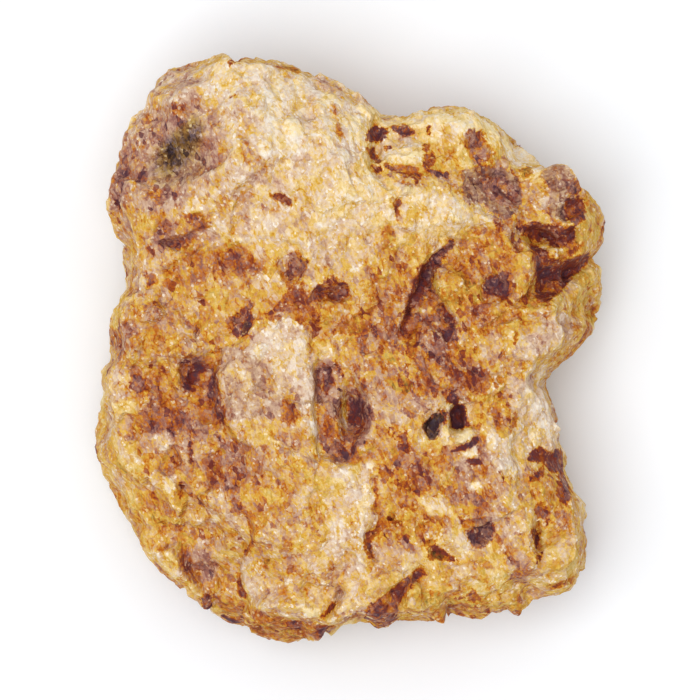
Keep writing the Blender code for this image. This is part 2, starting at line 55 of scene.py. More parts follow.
# The outline seen from above, anticlockwise from the right-hand end, in millimetres.
OUTLINE = [
    (50.4, 8.8), (50.4, 16.4), (49.2, 17.6), (49.2, 18.6), (50.8, 21.2), (51.2, 24.4),
    (50.8, 26.8), (49.8, 28.8), (48.0, 31.2), (45.8, 33.0), (43.4, 36.6), (41.2, 37.4),
    (39.0, 37.0), (35.4, 40.0), (32.0, 43.2), (30.0, 45.0), (25.0, 47.4), (22.8, 48.4),
    (16.2, 48.8), (13.8, 47.8), (10.8, 46.6), (8.0, 47.0), (6.0, 47.6), (4.4, 49.6),
    (2.2, 51.2), (-2.8, 53.8), (-10.0, 56.4), (-15.0, 58.0), (-19.2, 58.8), (-22.6, 57.8),
    (-25.2, 59.2), (-27.8, 58.2), (-31.0, 57.4), (-35.8, 56.2), (-38.6, 53.6), (-39.8, 51.6),
    (-41.2, 48.0), (-44.0, 45.8), (-45.2, 42.2), (-46.6, 37.0), (-48.8, 28.0), (-47.0, 22.4),
    (-45.8, 20.2), (-45.0, 12.6), (-46.4, 9.6), (-48.0, 7.0), (-48.4, -1.4), (-50.2, -4.2),
    (-49.8, -9.4), (-50.8, -12.6), (-51.2, -19.4), (-49.0, -26.6), (-47.2, -29.8), (-43.0, -37.0),
    (-40.6, -41.2), (-37.2, -45.0), (-33.0, -48.6), (-27.6, -52.8), (-23.8, -55.2), (-22.0, -55.4),
    (-16.8, -58.0), (-12.2, -58.8), (-7.8, -58.2), (-3.6, -57.6), (-1.4, -55.8), (2.4, -54.8),
    (5.4, -56.2), (7.6, -56.0), (9.4, -54.6), (12.6, -54.6), (19.0, -54.4), (20.4, -53.2),
    (25.8, -54.0), (28.2, -52.8), (31.8, -52.6), (33.2, -53.4), (34.6, -52.6), (36.6, -50.2),
    (41.4, -49.0), (44.4, -48.0), (47.4, -43.4), (48.0, -39.8), (47.2, -35.2), (47.8, -31.2),
    (46.2, -29.4), (43.6, -23.8), (43.8, -21.4), (42.4, -18.4), (41.6, -13.0), (40.4, -9.4),
    (39.4, -7.4), (39.6, -6.0), (41.6, -3.8), (45.6, -0.2), (48.8, 3.4),
]

# Height of the broken face at chosen spots: x, y, height.
FACE_SPOTS = [
    (-24, 40, 45.5),  # crown of the upper dome
    (-8, 36, 44.5),
    (-40, 26, 39.0),
    (-12, 20, 42.5),
    (-34, 8, 38.5),
    (-16, -2, 42.0),  # pale block left of the middle
    (-34, -10, 37.5),
    (-44, -20, 35.0),
    (-34, -34, 36.0),
    (-28, -48, 33.0),
    (-12, -46, 39.5),  # rounded block at the foot
    (-8, -28, 41.0),
    (3, -12, 38.0),
    (6, -34, 40.5),
    (12, 30, 42.5),  # pale ridge
    (22, 40, 38.5),  # shelf behind the ridge
    (34, 34, 37.0),
    (14, 10, 37.0),  # foot of the steep face
    (24, 12, 40.0),
    (28, -4, 39.5),
    (40, 20, 36.5),
    (44, 6, 35.0),
    (22, -20, 41.0),
    (36, -20, 38.0),
    (26, -40, 40.0),
    (42, -42, 35.5),
    (8, -50, 37.5),
]
SPOT_REACH = 8.5  # how far one spot's height spreads

# Height of the back below the girdle at chosen spots; what would sink below zero is the resting break.
BACK_SPOTS = [
    (0, 0, -1.6),
    (-22, 30, -1.2),
    (20, 30, -0.8),
    (-30, -20, -1.2),
    (26, -26, -1.4),
    (0, -40, -0.6),
    (-42, 10, 2.5),
    (42, 10, 3.5),
    (-10, 50, 2.0),
    (-38, -44, 5.0),
    (36, -46, 3.0),
    (44, 28, 5.0),
    (-40, 44, 5.0),
]

# Height of the widest line round the stone: bearing in degrees, height.
GIRDLE = [
    (0, 15.0),
    (25, 21.0),
    (50, 18.0),
    (80, 22.0),
    (105, 17.0),
    (135, 24.0),
    (160, 17.0),
    (185, 20.0),
    (215, 14.0),
    (245, 20.0),
    (270, 14.0),
    (300, 21.0),
    (330, 17.0),
]

# Flat breaks that slope from the face and from the back to the rim: bearing, height at the rim, slope.
UPPER_BREAKS = [
    (18, 24, 1.3),
    (40, 26, 1.8),
    (62, 30, 1.2),
    (118, 33, 1.1),
    (172, 26, 1.5),
    (226, 25, 1.0),
    (282, 28, 1.3),
    (340, 27, 1.2),
]
LOWER_BREAKS = [
    (5, 11, 0.7),
    (55, 14, 1.0),
    (98, 9, 0.45),
    (140, 17, 1.1),
    (196, 10, 0.6),
    (238, 15, 1.0),
    (290, 9, 0.5),
    (330, 14, 0.9),
]

# Rounded swellings and hollows of the face: x, y, half length, half width, turn in degrees, height.
SWELLS = [
    (-21, 38, 26, 15, -20, 1.6),  # upper dome
    (-13, -44, 11, 8, -15, 1.2),  # block at the foot
    (35.6, 15.5, 2.4, 7.5, 8, 0.9),  # thin crest beside the cavity
    (22, 13, 5, 6, 20, 0.6),  # granular shoulder
    (47, 24, 3.2, 7.5, 5, 1.6),  # crust on the outer edge of the lobe
    (0.8, -12.2, 3.4, 7.0, 4, -4.6),  # deepest pit
    (-1.4, -19.5, 3.4, 4.0, 10, -2.0),
    (-34.5, 36.5, 8.5, 6.5, 40, -2.2),  # dark hollow in the dome
    (41.4, 14.2, 6.8, 4.4, 30, -7.0),  # cavity
    (46, 17.2, 4.4, 2.2, 38, -3.0),  # its tail
    (39, 22.5, 4.6, 3.0, 10, -3.6),  # recess above it
    (44.4, 28, 2.9, 3.3, 0, -3.0),  # round hollow near the edge
    (21.2, -13.8, 2.6, 3.8, 10, -3.6),
    (16, -14.2, 2.8, 3.0, 0, -2.0),
    (-30, -5.2, 4.2, 3.2, -30, -2.6),
    (-4, 10.8, 5.2, 2.6, 8, -3.2),
    (-11.5, 16.6, 3.2, 3.4, 0, -2.0),
    (-24, 18, 5.0, 3.6, -10, -1.4),
    (29.5, 12.2, 3.8, 3.6, 0, -2.6),
    (28, 31.5, 7.0, 5.6, 0, -1.2),
    (25, 40, 3.6, 3.4, 0, -1.0),
    (-29.5, -43.5, 4.6, 3.6, 10, -1.6),
    (-24.5, -53.5, 4.6, 1.9, -35, -2.8),
    (-4.6, -56.0, 3.2, 1.8, 10, -2.8),
    (37.2, -37.5, 1.4, 3.6, 5, -2.4),
    (41.5, -23, 4.2, 3.0, -50, -2.0),
]

# Straight-sided blocks and sunk pockets of the face: corners anticlockwise, height.
SLABS = [
    ([(-25.6, -0.4), (-25.2, -14), (-19, -25), (-6.6, -22), (-7.6, 3), (-14, 7.2), (-20.4, 1)], 1.0),
    ([(7, 34), (5.6, 26), (12, 22.4), (24, 24.4), (31, 25.2), (20, 31)], 0.9),
    ([(-7.6, -4), (-6.6, -20), (-3, -23), (1.5, -20), (4.4, -9), (-1.4, -2.6)], -1.2),
    ([(36, -28), (37.2, -49), (48, -49), (49, -28)], -1.0),
    ([(31, -12), (33, -28), (42, -22), (40, -8)], -1.0),
    ([(-40, -2), (-39, -16), (-26.5, -15), (-25.8, 0)], -1.0),
    ([(-50, 6), (-45, -4), (-30, -2), (-30, 7.5), (-38, 10)], 1.0),
    ([(-12, 42), (-1.5, 36), (5.5, 40), (3, 49), (-14, 52)], 0.8),
    ([(12, -42), (8, -52), (30, -53), (33, -46), (24, -42)], 0.9),
    ([(24, 6), (26, -6), (39, -4), (47, 4), (40, 9), (30, 9)], 1.0),
    ([(19.6, -19.8), (25.2, -18.0), (25.2, -15.2), (22.0, -15.6)], 1.1),  # bright flake
    ([(19.4, -16.0), (23.4, -15.2), (22.6, -11.0), (19.0, -11.4)], -1.4),  # black grain above it
    ([(15.0, -17.6), (17.8, -16.6), (18.6, -11.8), (14.2, -13.6)], -0.9),
    ([(5.0, 42.4), (6.2, 36.4), (14.2, 36.6), (14.4, 41.8), (10.0, 42.6)], 0.7),  # white block on the shelf
]

# Ledges of the face, with the low ground on the right hand: points along the edge, drop, reach.
LEDGES = [
    ([(9, 30), (4.6, 34), (3.4, 41), (4.6, 49)], 2.2, 12),  # dome above the shelf
    ([(5, 20), (11, 21), (17.4, 22.4), (24, 24.6), (30, 25)], 1.2, 6),  # foot of the pale ridge
    ([(8.6, 2), (10.6, 7.6), (12.8, 13.4), (15.4, 18.4), (20.6, 21.6)], 3.6, 7),  # gash
    ([(16.0, 17), (18.8, 10.6), (21.2, 5), (19.6, -4)], 1.9, 6),  # granular shoulder above the gash
    ([(-17, 8), (-21, 1.4), (-25.6, -0.6), (-25.6, -12), (-24, -17)], 2.0, 8),  # left edge of the pale block
    ([(-6, -22), (-7.4, -12), (-7.8, -4), (-5, 1)], 1.8, 5),  # its right edge
    (
        [
            (-22.4, -30), (-19.4, -33.6), (-19, -36), (-19.6, -40), (-21.8, -43),
            (-21.8, -47), (-19, -51), (-8, -53.4), (0, -54),
        ],
        2.6,
        7,
    ),  # block at the foot
    ([(34, -52), (35, -45), (36.8, -40), (36.4, -34), (38, -30)], 2.0, 10),  # lower right slab
    ([(3.6, -46), (3, -40), (3.4, -36.8), (8, -34.2), (5, -32), (5, -26)], 1.4, 6),
    ([(32, 8), (36.8, 14), (37.2, 18), (35.6, 22)], 2.6, 6),  # crest above the cavity
    ([(33, 25.4), (39, 24), (42, 23), (47, 25)], 2.4, 5),  # lip above the recess
    ([(6, 46), (0, 50), (-6, 53.4), (-16, 57)], 1.8, 5),  # rim of the dome
    ([(-51, -18), (-47.4, -27), (-42, -37), (-36, -44), (-28, -50)], 2.6, 5),  # bevel along the lower left
    ([(-50, 5.5), (-42, 6.6), (-34, 5.8)], 1.2, 7),
    ([(8, -50), (14, -51.5), (22, -51), (30, -50.5)], 1.8, 4),
    ([(24, 4), (31, 7.5), (40, 7.4), (49, 10)], 1.6, 7),
    ([(12, 4), (17, -6), (24, -10), (31, -8), (38, -6)], 1.6, 8),
    ([(-48, 24), (-40, 21.6), (-30, 24), (-22, 22), (-15, 24)], 1.4, 8),
]
# Cracks and narrow grooves of the face: points along it, half width, depth.
GROOVES = [
    ([(14.2, -43.4), (10.8, -46.4), (8.2, -49.4), (6.6, -54.0)], 2.6, 3.4),
    ([(-2.5, -47.8), (-3.8, -51), (-6.8, -53.6)], 1.4, 2.2),
    ([(9.2, 30.8), (9.2, 25.6)], 1.4, 1.4),
    ([(49.5, 18.2), (46.5, 16.5), (43, 14.5)], 1.8, 2.4),
    ([(-33.4, -27), (-33.2, -30.2)], 1.3, 1.2),
    ([(5.0, 44), (5.6, 36), (12, 35), (20, 34)], 1.6, 1.2),
    ([(4.6, -25), (5.2, -31), (5.8, -33.4)], 0.9, 1.0),
    ([(9.0, -33.2), (5.6, -35.4), (3.2, -37.4), (3.4, -39.4), (4.4, -41.6)], 1.2, 1.5),
    ([(15.4, -39.6), (18.0, -41.0), (21.4, -41.8)], 1.0, 1.0),
    ([(28.2, -20.6), (29.8, -25.4)], 0.8, 0.8),
    ([(-32.0, -16), (-31.4, -19), (-31.2, -22)], 0.9, 0.9),
    ([(-4.0, 48.6), (-3.0, 45.0), (-1.6, 40.2)], 0.9, 0.7),
    ([(-15.4, 30.4), (-11.4, 28.8)], 0.9, 0.8),
    ([(15.4, 16.0), (16.4, 12.2), (18.4, 9.4), (20.6, 6.0)], 1.0, 1.4),
]

EDGE = 0.7  # width of the steep side of a block or ledge
WARP = 0.8  # how far the edges of the relief wander
WARP_SIZE = 6.0  # size of the waves that they wander by
CREASE = 0.45  # width of the crease between two breaks
FANS = 720  # bearings at which the outline is matched
NOTCH_MEAN = 6  # bearings to each side whose mean tells the notches from the corners
INNER_MEAN = 12  # bearings to each side that the match is evened over, well inside the outline
HEIGHT_MEAN = 2  # bearings to each side that the height of the widest point is evened over

# Sizes of the flat breaks: size of a grain, lean of its plane, how far it stands off its neighbours.
BREAKS = [
    (26, 0.10, 0.80),
    (9, 0.20, 0.60),
    (3.2, 0.28, 0.22),
    (1.4, 0.26, 0.07),
]

PROFILE_STEPS = 800  # points along the domed profile of a sheet
SMOOTH_TURN = 3.5  # degrees over which the outline is evened out away from its widest line
SQUARENESS = {1: 4.8, -1: 2.8}  # how square the broken face (1) and the back (-1) are at their edge
DOME_ASPECT = 0.5  # height of a sheet against its radius
CORNER_HEIGHT = 6.0  # how far up and down a corner of the outline reaches
FIRST_SMALL_BREAK = 3.2  # breaks from this size down follow the relief of the face
PUSH_LIMIT = 0.12  # farthest that a break moves a point, as a share of the size of its grains
LEAST_FACING = 0.6  # least that a point is taken to face the break that it is pushed to
RIM_START = 0.78  # share of the way out from which a point follows the outline closely
RIM_BAND = 0.2  # share of the way out over which it comes to do so
CORE = 0.6  # share of the way out within which the outline counts for less
UNEVEN = 0.25  # height of the gentle unevenness over all
UNEVEN_SIZE = 7.0  # size of its waves

# Soft tones of the face, painted one over the other: x, y, half length, half width, turn in degrees,
# stain from 0 (clean cream) to 1 (darkest), coolness from -1 (olive) through 0 (golden) to 1 (mauve).
AREAS = [
    # dome and its upper rim
    (-8, 42, 17, 13, -20, 0.18, 0.5),
    (-24, 53, 9, 5, 10, 0.2, 0.5),
    (-36, 48, 8, 8, -30, 0.4, 0.8),
    (-22, 40, 6, 9, 0, 0.28, 0.65),
    (-38, 38, 8, 9, 0, 0.48, 0.9),
    (-42, 32, 7, 4, -8, 0.56, 0.8),
    (-8, 35, 7, 6, 0, 0.26, 0.75),
    # foot of the dome
    (-38, 26, 9, 5, 0, 0.46, 0.35),
    (-24, 27, 9, 4, 0, 0.38, 0.5),
    (-2, 29, 13, 7, -15, 0.2, 0.3),
    (-11, 23, 12, 5, 0, 0.25, 0.5),
    (2, 20, 8, 5, 0, 0.34, 0.5),
    # left flank
    (-40, 17, 6, 7, 0, 0.4, 0.5),
    (-28, 15, 8, 5, 0, 0.54, 0.2),
    (-34, 5, 12, 6, 0, 0.42, 0.3),
    (-24, 6, 6, 5, 0, 0.48, 0.1),
    (-42, 1, 5, 8, 0, 0.54, 0.35),
    (-33, -6, 8, 5, 0, 0.58, 0.3),
    (-46, -12, 5, 9, 0, 0.36, 0.4),
    (-38, -19, 6, 4, 0, 0.5, 0.3),
    (-26, -19, 8, 5, 25, 0.53, 0.25),
    (-34, -25, 6, 5, 0, 0.5, 0.3),
    (-43, -26, 3, 6, 28, 0.42, 0.05),
    (-37, -32, 7, 4, 0, 0.57, 0.15),
    (-26, -35, 6, 6, 0, 0.42, 0.3),
    (-37, -40, 8, 3, -45, 0.38, 0.2),
    (-25, -45, 5, 4, 0, 0.42, 0.4),
    # foot
    (-14, -17, 9, 4, 0, 0.38, 0.35),
    (-10, -31, 9, 7, 0, 0.4, 0.2),
    (-17, -31, 5, 4, 0, 0.48, 0.15),
    (1, -32, 5, 9, 0, 0.2, 0.5),
    (-1, -44, 5, 7, 0, 0.28, 0.6),
    (-19, -51, 7, 3, -10, 0.45, 0.1),
    # middle band
    (-7, 7, 8, 5, 0, 0.63, 0.35),
    (8, 14, 6, 5, 0, 0.48, 0.2),
    (7, 7, 6, 6, 10, 0.6, 0.3),
    (7, -4, 5, 5, 0, 0.54, 0.45),
    (11, -10, 9, 5, 0, 0.42, 0.6),
    (21, -4, 8, 5, 0, 0.6, 0.3),
    # shelf and the upper right rim
    (18, 37, 13, 4, 0, 0.4, 0.0),
    (18, 45, 14, 4, -5, 0.15, 0.05),
    (5, 41, 4, 6, 0, 0.2, 0.0),
    (35, 40, 7, 4, -48, 0.09, 0.4),
    (18, 29, 9, 4, 10, 0.31, 0.0),
    # right lobe
    (18, 21, 8, 4, 15, 0.35, 0.0),
    (28, 19, 7, 5, 0, 0.59, 0.15),
    (21.5, 13, 4.4, 5, 0, 0.54, 0.0),
    (29, 8, 6, 6, 0, 0.58, 0.05),
    (31, -1, 6, 5, 0, 0.37, 0.4),
    (35.5, 16, 2.4, 8, 3, 0.52, -0.05),
    (48, 25, 4, 10, 0, 0.44, 0.0),
    (46, 8, 6, 8, 15, 0.46, 0.0),
    # lower right
    (37, -13, 5, 9, 0, 0.18, 0.7),
    (13, -24, 7, 6, 0, 0.54, 0.2),
    (25, -26, 7, 7, 0, 0.46, 0.5),
    (10, -33, 6, 5, 0, 0.52, 0.1),
    (24, -32, 5, 3, 0, 0.58, 0.3),
    (31, -37, 7, 6, 0, 0.42, 0.35),
    (41, -27, 5, 5, 0, 0.54, 0.15),
    (42, -37, 5, 7, 0, 0.35, 0.15),
    (18, -43, 8, 4, 0, 0.34, 0.15),
    (30, -46, 8, 3, 0, 0.33, 0.1),
    (20, -51, 10, 3, 0, 0.5, 0.0),
]

SHARP = 0.95  # patches with a narrower edge than this have a sharp, ragged one
PATCH_REACH = 2.5  # how far beyond a patch its depth is worked out
OUTSIDE = 0.6  # share of the width of a soft edge that lies outside the patch's outline
OVAL_REACH = 1.7  # how far out an oval is worked out, against its longer half
LAYERS = 3  # layers of sharp patches
PLAIN_STAIN = 0.4  # stain of the face where nothing is painted
PLAIN_COOLNESS = 0.2  # and its coolness

# The sides and the back, where nothing is painted. The first two: mean, height and size of the waves.
SIDE_STAIN = (0.45, 0.2, 11.0)
SIDE_COOLNESS = (0.08, 0.35, 13.0)
SIDE_GRAIN = 0.3  # how much the mark of a grain changes the stain
DARK_CHANCE = 0.93  # grains whose mark is above this are dark
DARK_STAIN = 0.85  # stain of those grains
FACE_TILT = 0.25  # upright part of the normal from which a place wholly belongs to the face

# Patches with a definite edge: corners in order, stain (also painted shade and painted light in the rows
# marked below), coolness (above 0.95 turns khaki), width of the edge.
PATCHES = [
    # dome and its hollow; the first five patches, in the hollow, grow darker inwards: painted shade over its
    # khaki and mauve colour
    ([(-46, 42), (-41, 47), (-30, 50), (-26, 45), (-26, 35), (-32, 29), (-40, 28), (-46, 34)], 0.5, 0.9, 4),
    ([(-46, 36), (-40, 35.6), (-34, 34.6), (-34, 30.6), (-45.6, 30)], 0.64, 0.7, 2.4),
    ([(-41, 37), (-36, 42.6), (-30, 46.6), (-29.4, 41), (-28, 36), (-31, 33), (-36, 31),
      (-40, 33)], 0.5, 1.06, 2),
    ([(-38, 38.6), (-35, 42.8), (-31, 46), (-28.8, 44), (-30, 40), (-32.4, 36.4), (-35.6, 34.2),
      (-38.4, 35.4)], 0.64, 1.22, 1.8),
    ([(-37.2, 39.4), (-34.4, 42), (-31.6, 43), (-31.8, 40), (-33.6, 37.6), (-36, 36.4)], 0.74, 1.26, 1.3),
    ([(-29.4, 39.4), (-27.2, 39.6), (-27.4, 35), (-29, 36.4)], 0.5, 1.0, 0.8),
    ([(-37.5, 47.5), (-33, 48.4), (-29.4, 50), (-29.8, 48.6), (-36, 46)], 0.62, 0.3, 1),
    ([(-38.6, 23.8), (-36.4, 25.6), (-33.6, 24.6), (-31.2, 23.2), (-32, 20.6), (-35.6, 20),
      (-38.8, 21.2)], 0.76, 0.7, 1),
    ([(-32.4, 26), (-30, 27.4), (-28, 26.4), (-27.4, 24.8), (-31, 23.4)], 0.72, 0.25, 1),
    ([(-28, 17.4), (-26, 20.6), (-23.4, 21.6), (-20.6, 20), (-18.6, 18), (-17, 15.4), (-22, 15.4),
      (-27, 16)], 0.67, 0.3, 1),
    ([(-25.4, 18.4), (-24, 20), (-22.4, 18.6), (-23.6, 17)], 0.82, 0.7, 0.8),
    ([(-19.6, 18), (-17.2, 17.4), (-16.6, 15), (-18.4, 15.2)], 0.62, 0.0, 0.6),
    ([(-40.6, 15.4), (-38.8, 15.2), (-38, 13.2), (-40, 12.8)], 0.76, 0.6, 0.8),
    ([(-41, 9.4), (-37.6, 9), (-37.4, 6.6), (-39.6, 6.2)], 0.68, 0.3, 1),
    ([(-33, 20), (-29.6, 19.4), (-30.6, 16.6), (-32.6, 18)], 0.68, 0.1, 1.2),
    ([(-21.8, 41.4), (-19.4, 40.6), (-18.4, 37), (-20, 36), (-22, 39.4)], 0.5, 0.1, 1.4),
    ([(-18, 39), (-16.4, 38), (-16.4, 35), (-18.6, 35.4)], 0.52, 0.4, 1),
    ([(-16.4, 30.8), (-13, 30.2), (-11.4, 29.4), (-11.6, 28.4), (-14.6, 29.6)], 0.7, 0.15, 0.3),
    ([(-24.4, 57.2), (-23.2, 57.2), (-23.6, 56.2)], 0.85, 0.1, 0.3),
    ([(-24, 50.4), (-21.6, 50.4), (-22, 49.4), (-24, 49.6)], 0.52, 0.2, 0.6),
    ([(-15, 56.6), (-10, 56.2), (-9.6, 54.6), (-13, 55.4)], 0.6, -0.1, 0.5),
    ([(-8, 54.4), (-1, 51.8), (1, 50), (-2, 50), (-8, 53.4)], 0.36, 0.8, 1),
    ([(-3.8, 48.8), (-3, 48.8), (-1.2, 41), (-2, 40.6)], 0.48, -0.1, 0.4),
    ([(-47.2, 23.4), (-45.4, 22.4), (-45, 20.4), (-46.4, 20.8)], 0.92, 0.4, 0.5),
    # middle left
    ([(-12.6, 19), (-10, 19.8), (-9.6, 18), (-7.8, 17.8), (-8.8, 16.2), (-9.8, 14.4), (-12.8, 14.8),
      (-11.8, 17)], 0.66, 0.4, 0.5),
    ([(-13, 11.4), (-8, 11.6), (-6, 13.2), (-3.4, 14.8), (-1, 13.2), (-0.2, 11.6), (-1.4, 9.8), (-8, 9.4),
      (-13, 9.4)], 0.77, 0.4, 0.6),
    ([(-13, 10.4), (-12, 8.6), (-16.8, 6.4), (-15, 8.4)], 0.76, 0.3, 0.5),
    ([(-2.4, 11.6), (0.2, 11), (0, 7.4), (-1.6, 8.8)], 0.68, 0.1, 0.6),
    ([(-12.8, 13.6), (-9.4, 13.4), (-9, 11), (-12.6, 11)], 0.7, 0.2, 0.8),
    ([(-7.8, 7.6), (-6.3, 7.4), (-5.7, 5), (-6.5, 2.4), (-7.8, 2.4), (-7.2, 5)], 0.88, 0.4, 0.4),
    ([(-10.3, 7), (-9.4, 6.6), (-9.2, 3.4), (-10.2, 4)], 0.7, 0.5, 0.4),
    ([(-21.8, 2.2), (-20.2, 3), (-19.4, 5.6), (-20, 8), (-18.2, 9), (-19.6, 10), (-21.4, 7.6), (-24.6, 6),
      (-24.4, 4.4)], 0.72, 0.6, 0.6),
    ([(-21.8, 2.4), (-20.4, 3), (-19.8, 5.4), (-21.2, 6.4)], 0.8, 1.1, 0.4),
    ([(-46, 5.6), (-42, 5.6), (-41, 2.4), (-44.6, 1.4), (-46.6, 3.4)], 0.58, 0.6, 1.4),
    ([(-43.6, -4.6), (-41.4, -5), (-39.6, -7.8), (-42, -8.6), (-43.8, -7)], 0.74, 0.8, 0.7),
    ([(-34.6, -3.2), (-31.6, -1), (-29.4, -1.8), (-27.6, -3.6), (-30, -4.6), (-30, -8.2), (-32.4, -7.8),
      (-33.6, -5)], 0.74, 0.5, 1),
    ([(-31, -2.4), (-28, -3.2), (-29.8, -4.8), (-31.2, -4)], 0.93, 0.8, 0.4),
    ([(-32.8, -5), (-30.8, -5.2), (-31, -6.4), (-32.6, -6)], 0.92, 0.7, 0.4),
    ([(-33.4, -6.8), (-31, -7.2), (-30.4, -8.4), (-32, -8)], 0.9, 0.6, 0.4),
    ([(-38.6, -9.4), (-34, -9), (-30, -8), (-27.6, -5), (-25.8, -5), (-25.4, -14.6), (-29, -16),
      (-41, -16.4), (-42, -13)], 0.63, 0.35, 2),
    ([(-27.6, -5), (-26, -5.6), (-25.7, -10), (-24.6, -15), (-26.2, -13.4), (-28, -9)], 0.76, 0.65, 0.5),
    ([(-30, -10), (-27, -9.8), (-27, -11.6), (-29.8, -11.8)], 0.66, -0.5, 0.7),
    ([(-38, -20), (-34, -20.6), (-34.4, -24.4), (-38.4, -26.8), (-40.4, -23.4)], 0.56, 0.35, 1.6),
    ([(-39, -17), (-35.4, -16.4), (-35, -19.4), (-38, -19.6)], 0.18, 0.5, 1),
    ([(-37, -25.4), (-34.6, -25.2), (-35, -28.8), (-36.8, -28)], 0.2, 0.5, 0.8),
    ([(-28.6, -21.4), (-25, -18), (-20, -18.8), (-17.4, -19.6), (-17, -25), (-19, -28), (-24, -28.6),
      (-28.6, -27)], 0.57, 0.5, 1.6),
    ([(-28.4, -22.6), (-25.4, -22), (-24.6, -27.4), (-27.8, -27)], 0.68, 0.0, 1),
    ([(-31.9, -15.6), (-31.5, -15.6), (-31, -22), (-31.6, -20)], 0.84, 0.4, 0.3),
    ([(-33.9, -26.6), (-33.5, -26.6), (-32.9, -30.6), (-33.4, -29.4)], 0.84, 0.4, 0.3),
    ([(-23.8, -29.8), (-22, -29.4), (-21.4, -32.6), (-23.4, -32.6)], 0.66, 0.3, 0.8),
    ([(-30.6, -28.6), (-28.4, -28.6), (-28, -31), (-30, -31)], 0.66, 0.6, 0.8),
    ([(-33.6, -40.4), (-29, -39.8), (-26.6, -42.4), (-26.8, -45.2), (-30.6, -46.6),
      (-34, -45)], 0.62, 0.8, 1.4),
    # painted shade along the left side of the block at the foot
    ([(-22.6, -44.4), (-21.7, -44.4), (-20.6, -49.8), (-22.2, -48.6)], 0.74, 0.5, 0.5),
    # pale block, column and pit
    ([(-25.4, 0.8), (-20, 0), (-18.8, 4.6), (-8, 4.4), (-7.2, -12.6), (-13, -13.6),
      (-24.6, -14)], 0.46, 0.98, 0.9),
    ([(-20.6, 0), (-17.8, 3.8), (-12, 6.6), (-8.4, 3.4), (-8, -3), (-6.6, -11), (-6.2, -19), (-8.4, -15.4),
      (-9.8, -9), (-12.6, -5.4), (-17, -2.8)], 0.28, 0.85, 0.8),
    ([(-12.8, -9), (-11, -8.8), (-9.6, -12.6), (-10.4, -14.2), (-13.6, -14.4), (-14, -11.5)], 0.54, 0.2, 0.8),
    ([(-20, -3.4), (-17, -3.6), (-16.6, -12), (-19.4, -13), (-21, -8)], 0.4, 0.5, 1.6),
    ([(-5.4, -1.8), (-3.6, -1.4), (-1.4, -4.8), (-2.2, -12), (-1.4, -17), (1.4, -21.4), (-2.6, -22.6),
      (-5.4, -19.4), (-6.8, -9.5), (-7.8, -5)], 0.62, 0.75, 1),
    ([(-5.4, -2.6), (-3.8, -2.8), (-3.2, -7), (-4.8, -9)], 0.8, 0.8, 0.6),
    ([(-5, -13), (-2.8, -13.4), (-2.4, -17), (-5, -17.4)], 0.74, 0.3, 0.8),
    # the next two patches darken the pit, most in its deepest part, partly as painted shade over its own
    # mauve
    ([(0.6, -10.2), (2, -9.6), (4.4, -11.6), (4.2, -15), (2.8, -18), (1.6, -20.8), (-1.2, -19.8),
      (-1.4, -14)], 0.7, 0.85, 1),
    ([(0, -10), (2.2, -9.8), (3.2, -12.6), (2, -15.6), (0, -15)], 0.88, 0.8, 1.2),
    ([(-3.4, -1.8), (-2.6, -1.8), (-1.2, -5.4), (-2, -4.6)], 0.88, 0.5, 0.3),
    # foot block and the rim below it
    # the next patch is a thin line of painted shade down the left edge of the foot block, and the one after
    # it a lighter strip of painted light along that edge
    ([(-21.8, -30), (-19, -32.6), (-18.4, -35), (-19, -38.6), (-21.6, -42.6), (-20, -38.6), (-19.6, -35),
      (-20.4, -33.2)], 0.7, 0.3, 0.4),
    ([(-21.2, -43), (-20, -42.4), (-19, -46), (-19.6, -49.4), (-21, -47.6)], 0.18, 0.5, 0.5),
    ([(-21.8, -41.6), (-19, -40.4), (-10, -39.5), (-1, -41), (0, -46), (-6, -52.8), (-12, -53.2),
      (-20, -50.6)], 0.37, 0.45, 0.9),
    ([(-21, -48.4), (-10, -48.8), (-2, -49.6), (-6, -52.8), (-12, -53.2), (-20, -50.6)], 0.5, -0.05, 1),
    ([(-12.4, -42.4), (-9.6, -43), (-9.4, -44.8), (-12.6, -44)], 0.62, 0.3, 0.7),
    ([(-17.4, -40.6), (-16, -41), (-16.6, -43.6), (-17.2, -43.4)], 0.5, -0.1, 0.4),
    ([(-9.4, -51), (-6, -51), (-6.4, -53), (-9, -52.8)], 0.08, 0.3, 0.5),
    ([(-27, -49), (-20, -51.6), (-12, -54), (-3, -55), (-6, -58.4), (-16, -58),
      (-24, -54.6)], 0.62, 0.0, 1.2),
    ([(-29.8, -48.6), (-28, -48.6), (-26.8, -52.6), (-29.8, -51.6)], 0.86, 0.8, 0.5),
    ([(-26, -52.8), (-21.4, -54.6), (-22.6, -55.6), (-26.4, -54)], 0.88, 0.8, 0.5),
    ([(-12.8, -53.8), (-9.6, -54), (-9.8, -55.8), (-12.6, -55.6)], 0.8, 0.7, 0.5),
    ([(-7.4, -54.6), (-1.6, -55), (-3.4, -57.2), (-6, -57)], 0.88, 0.7, 0.5),
    ([(-2.6, -49.2), (-2.2, -49.8), (-5, -52.8), (-6.8, -54), (-5.6, -52.2)], 0.84, 0.4, 0.3),
    # lower right
    # the next two patches darken the groove and its steep face, partly as painted shade over the stone's
    # brown-purple
    ([(14, -42.8), (14.8, -44.2), (11.6, -47), (9.6, -50), (8.8, -56), (4.6, -57), (2.6, -54), (3.6, -50.8),
      (9.4, -46.4)], 0.78, 0.5, 0.6),
    ([(5.8, -50.4), (9, -50.6), (8, -55), (5, -56)], 0.84, 0.6, 1),
    ([(9, -33.4), (5.4, -34.8), (3, -36.2), (2.8, -38.4), (3.6, -41.6), (4.6, -41.4), (3.9, -38),
      (6, -36.2)], 0.72, 0.25, 0.4),
    ([(4.5, -25.6), (5, -25.6), (5.8, -33), (5, -31)], 0.72, 0.1, 0.3),
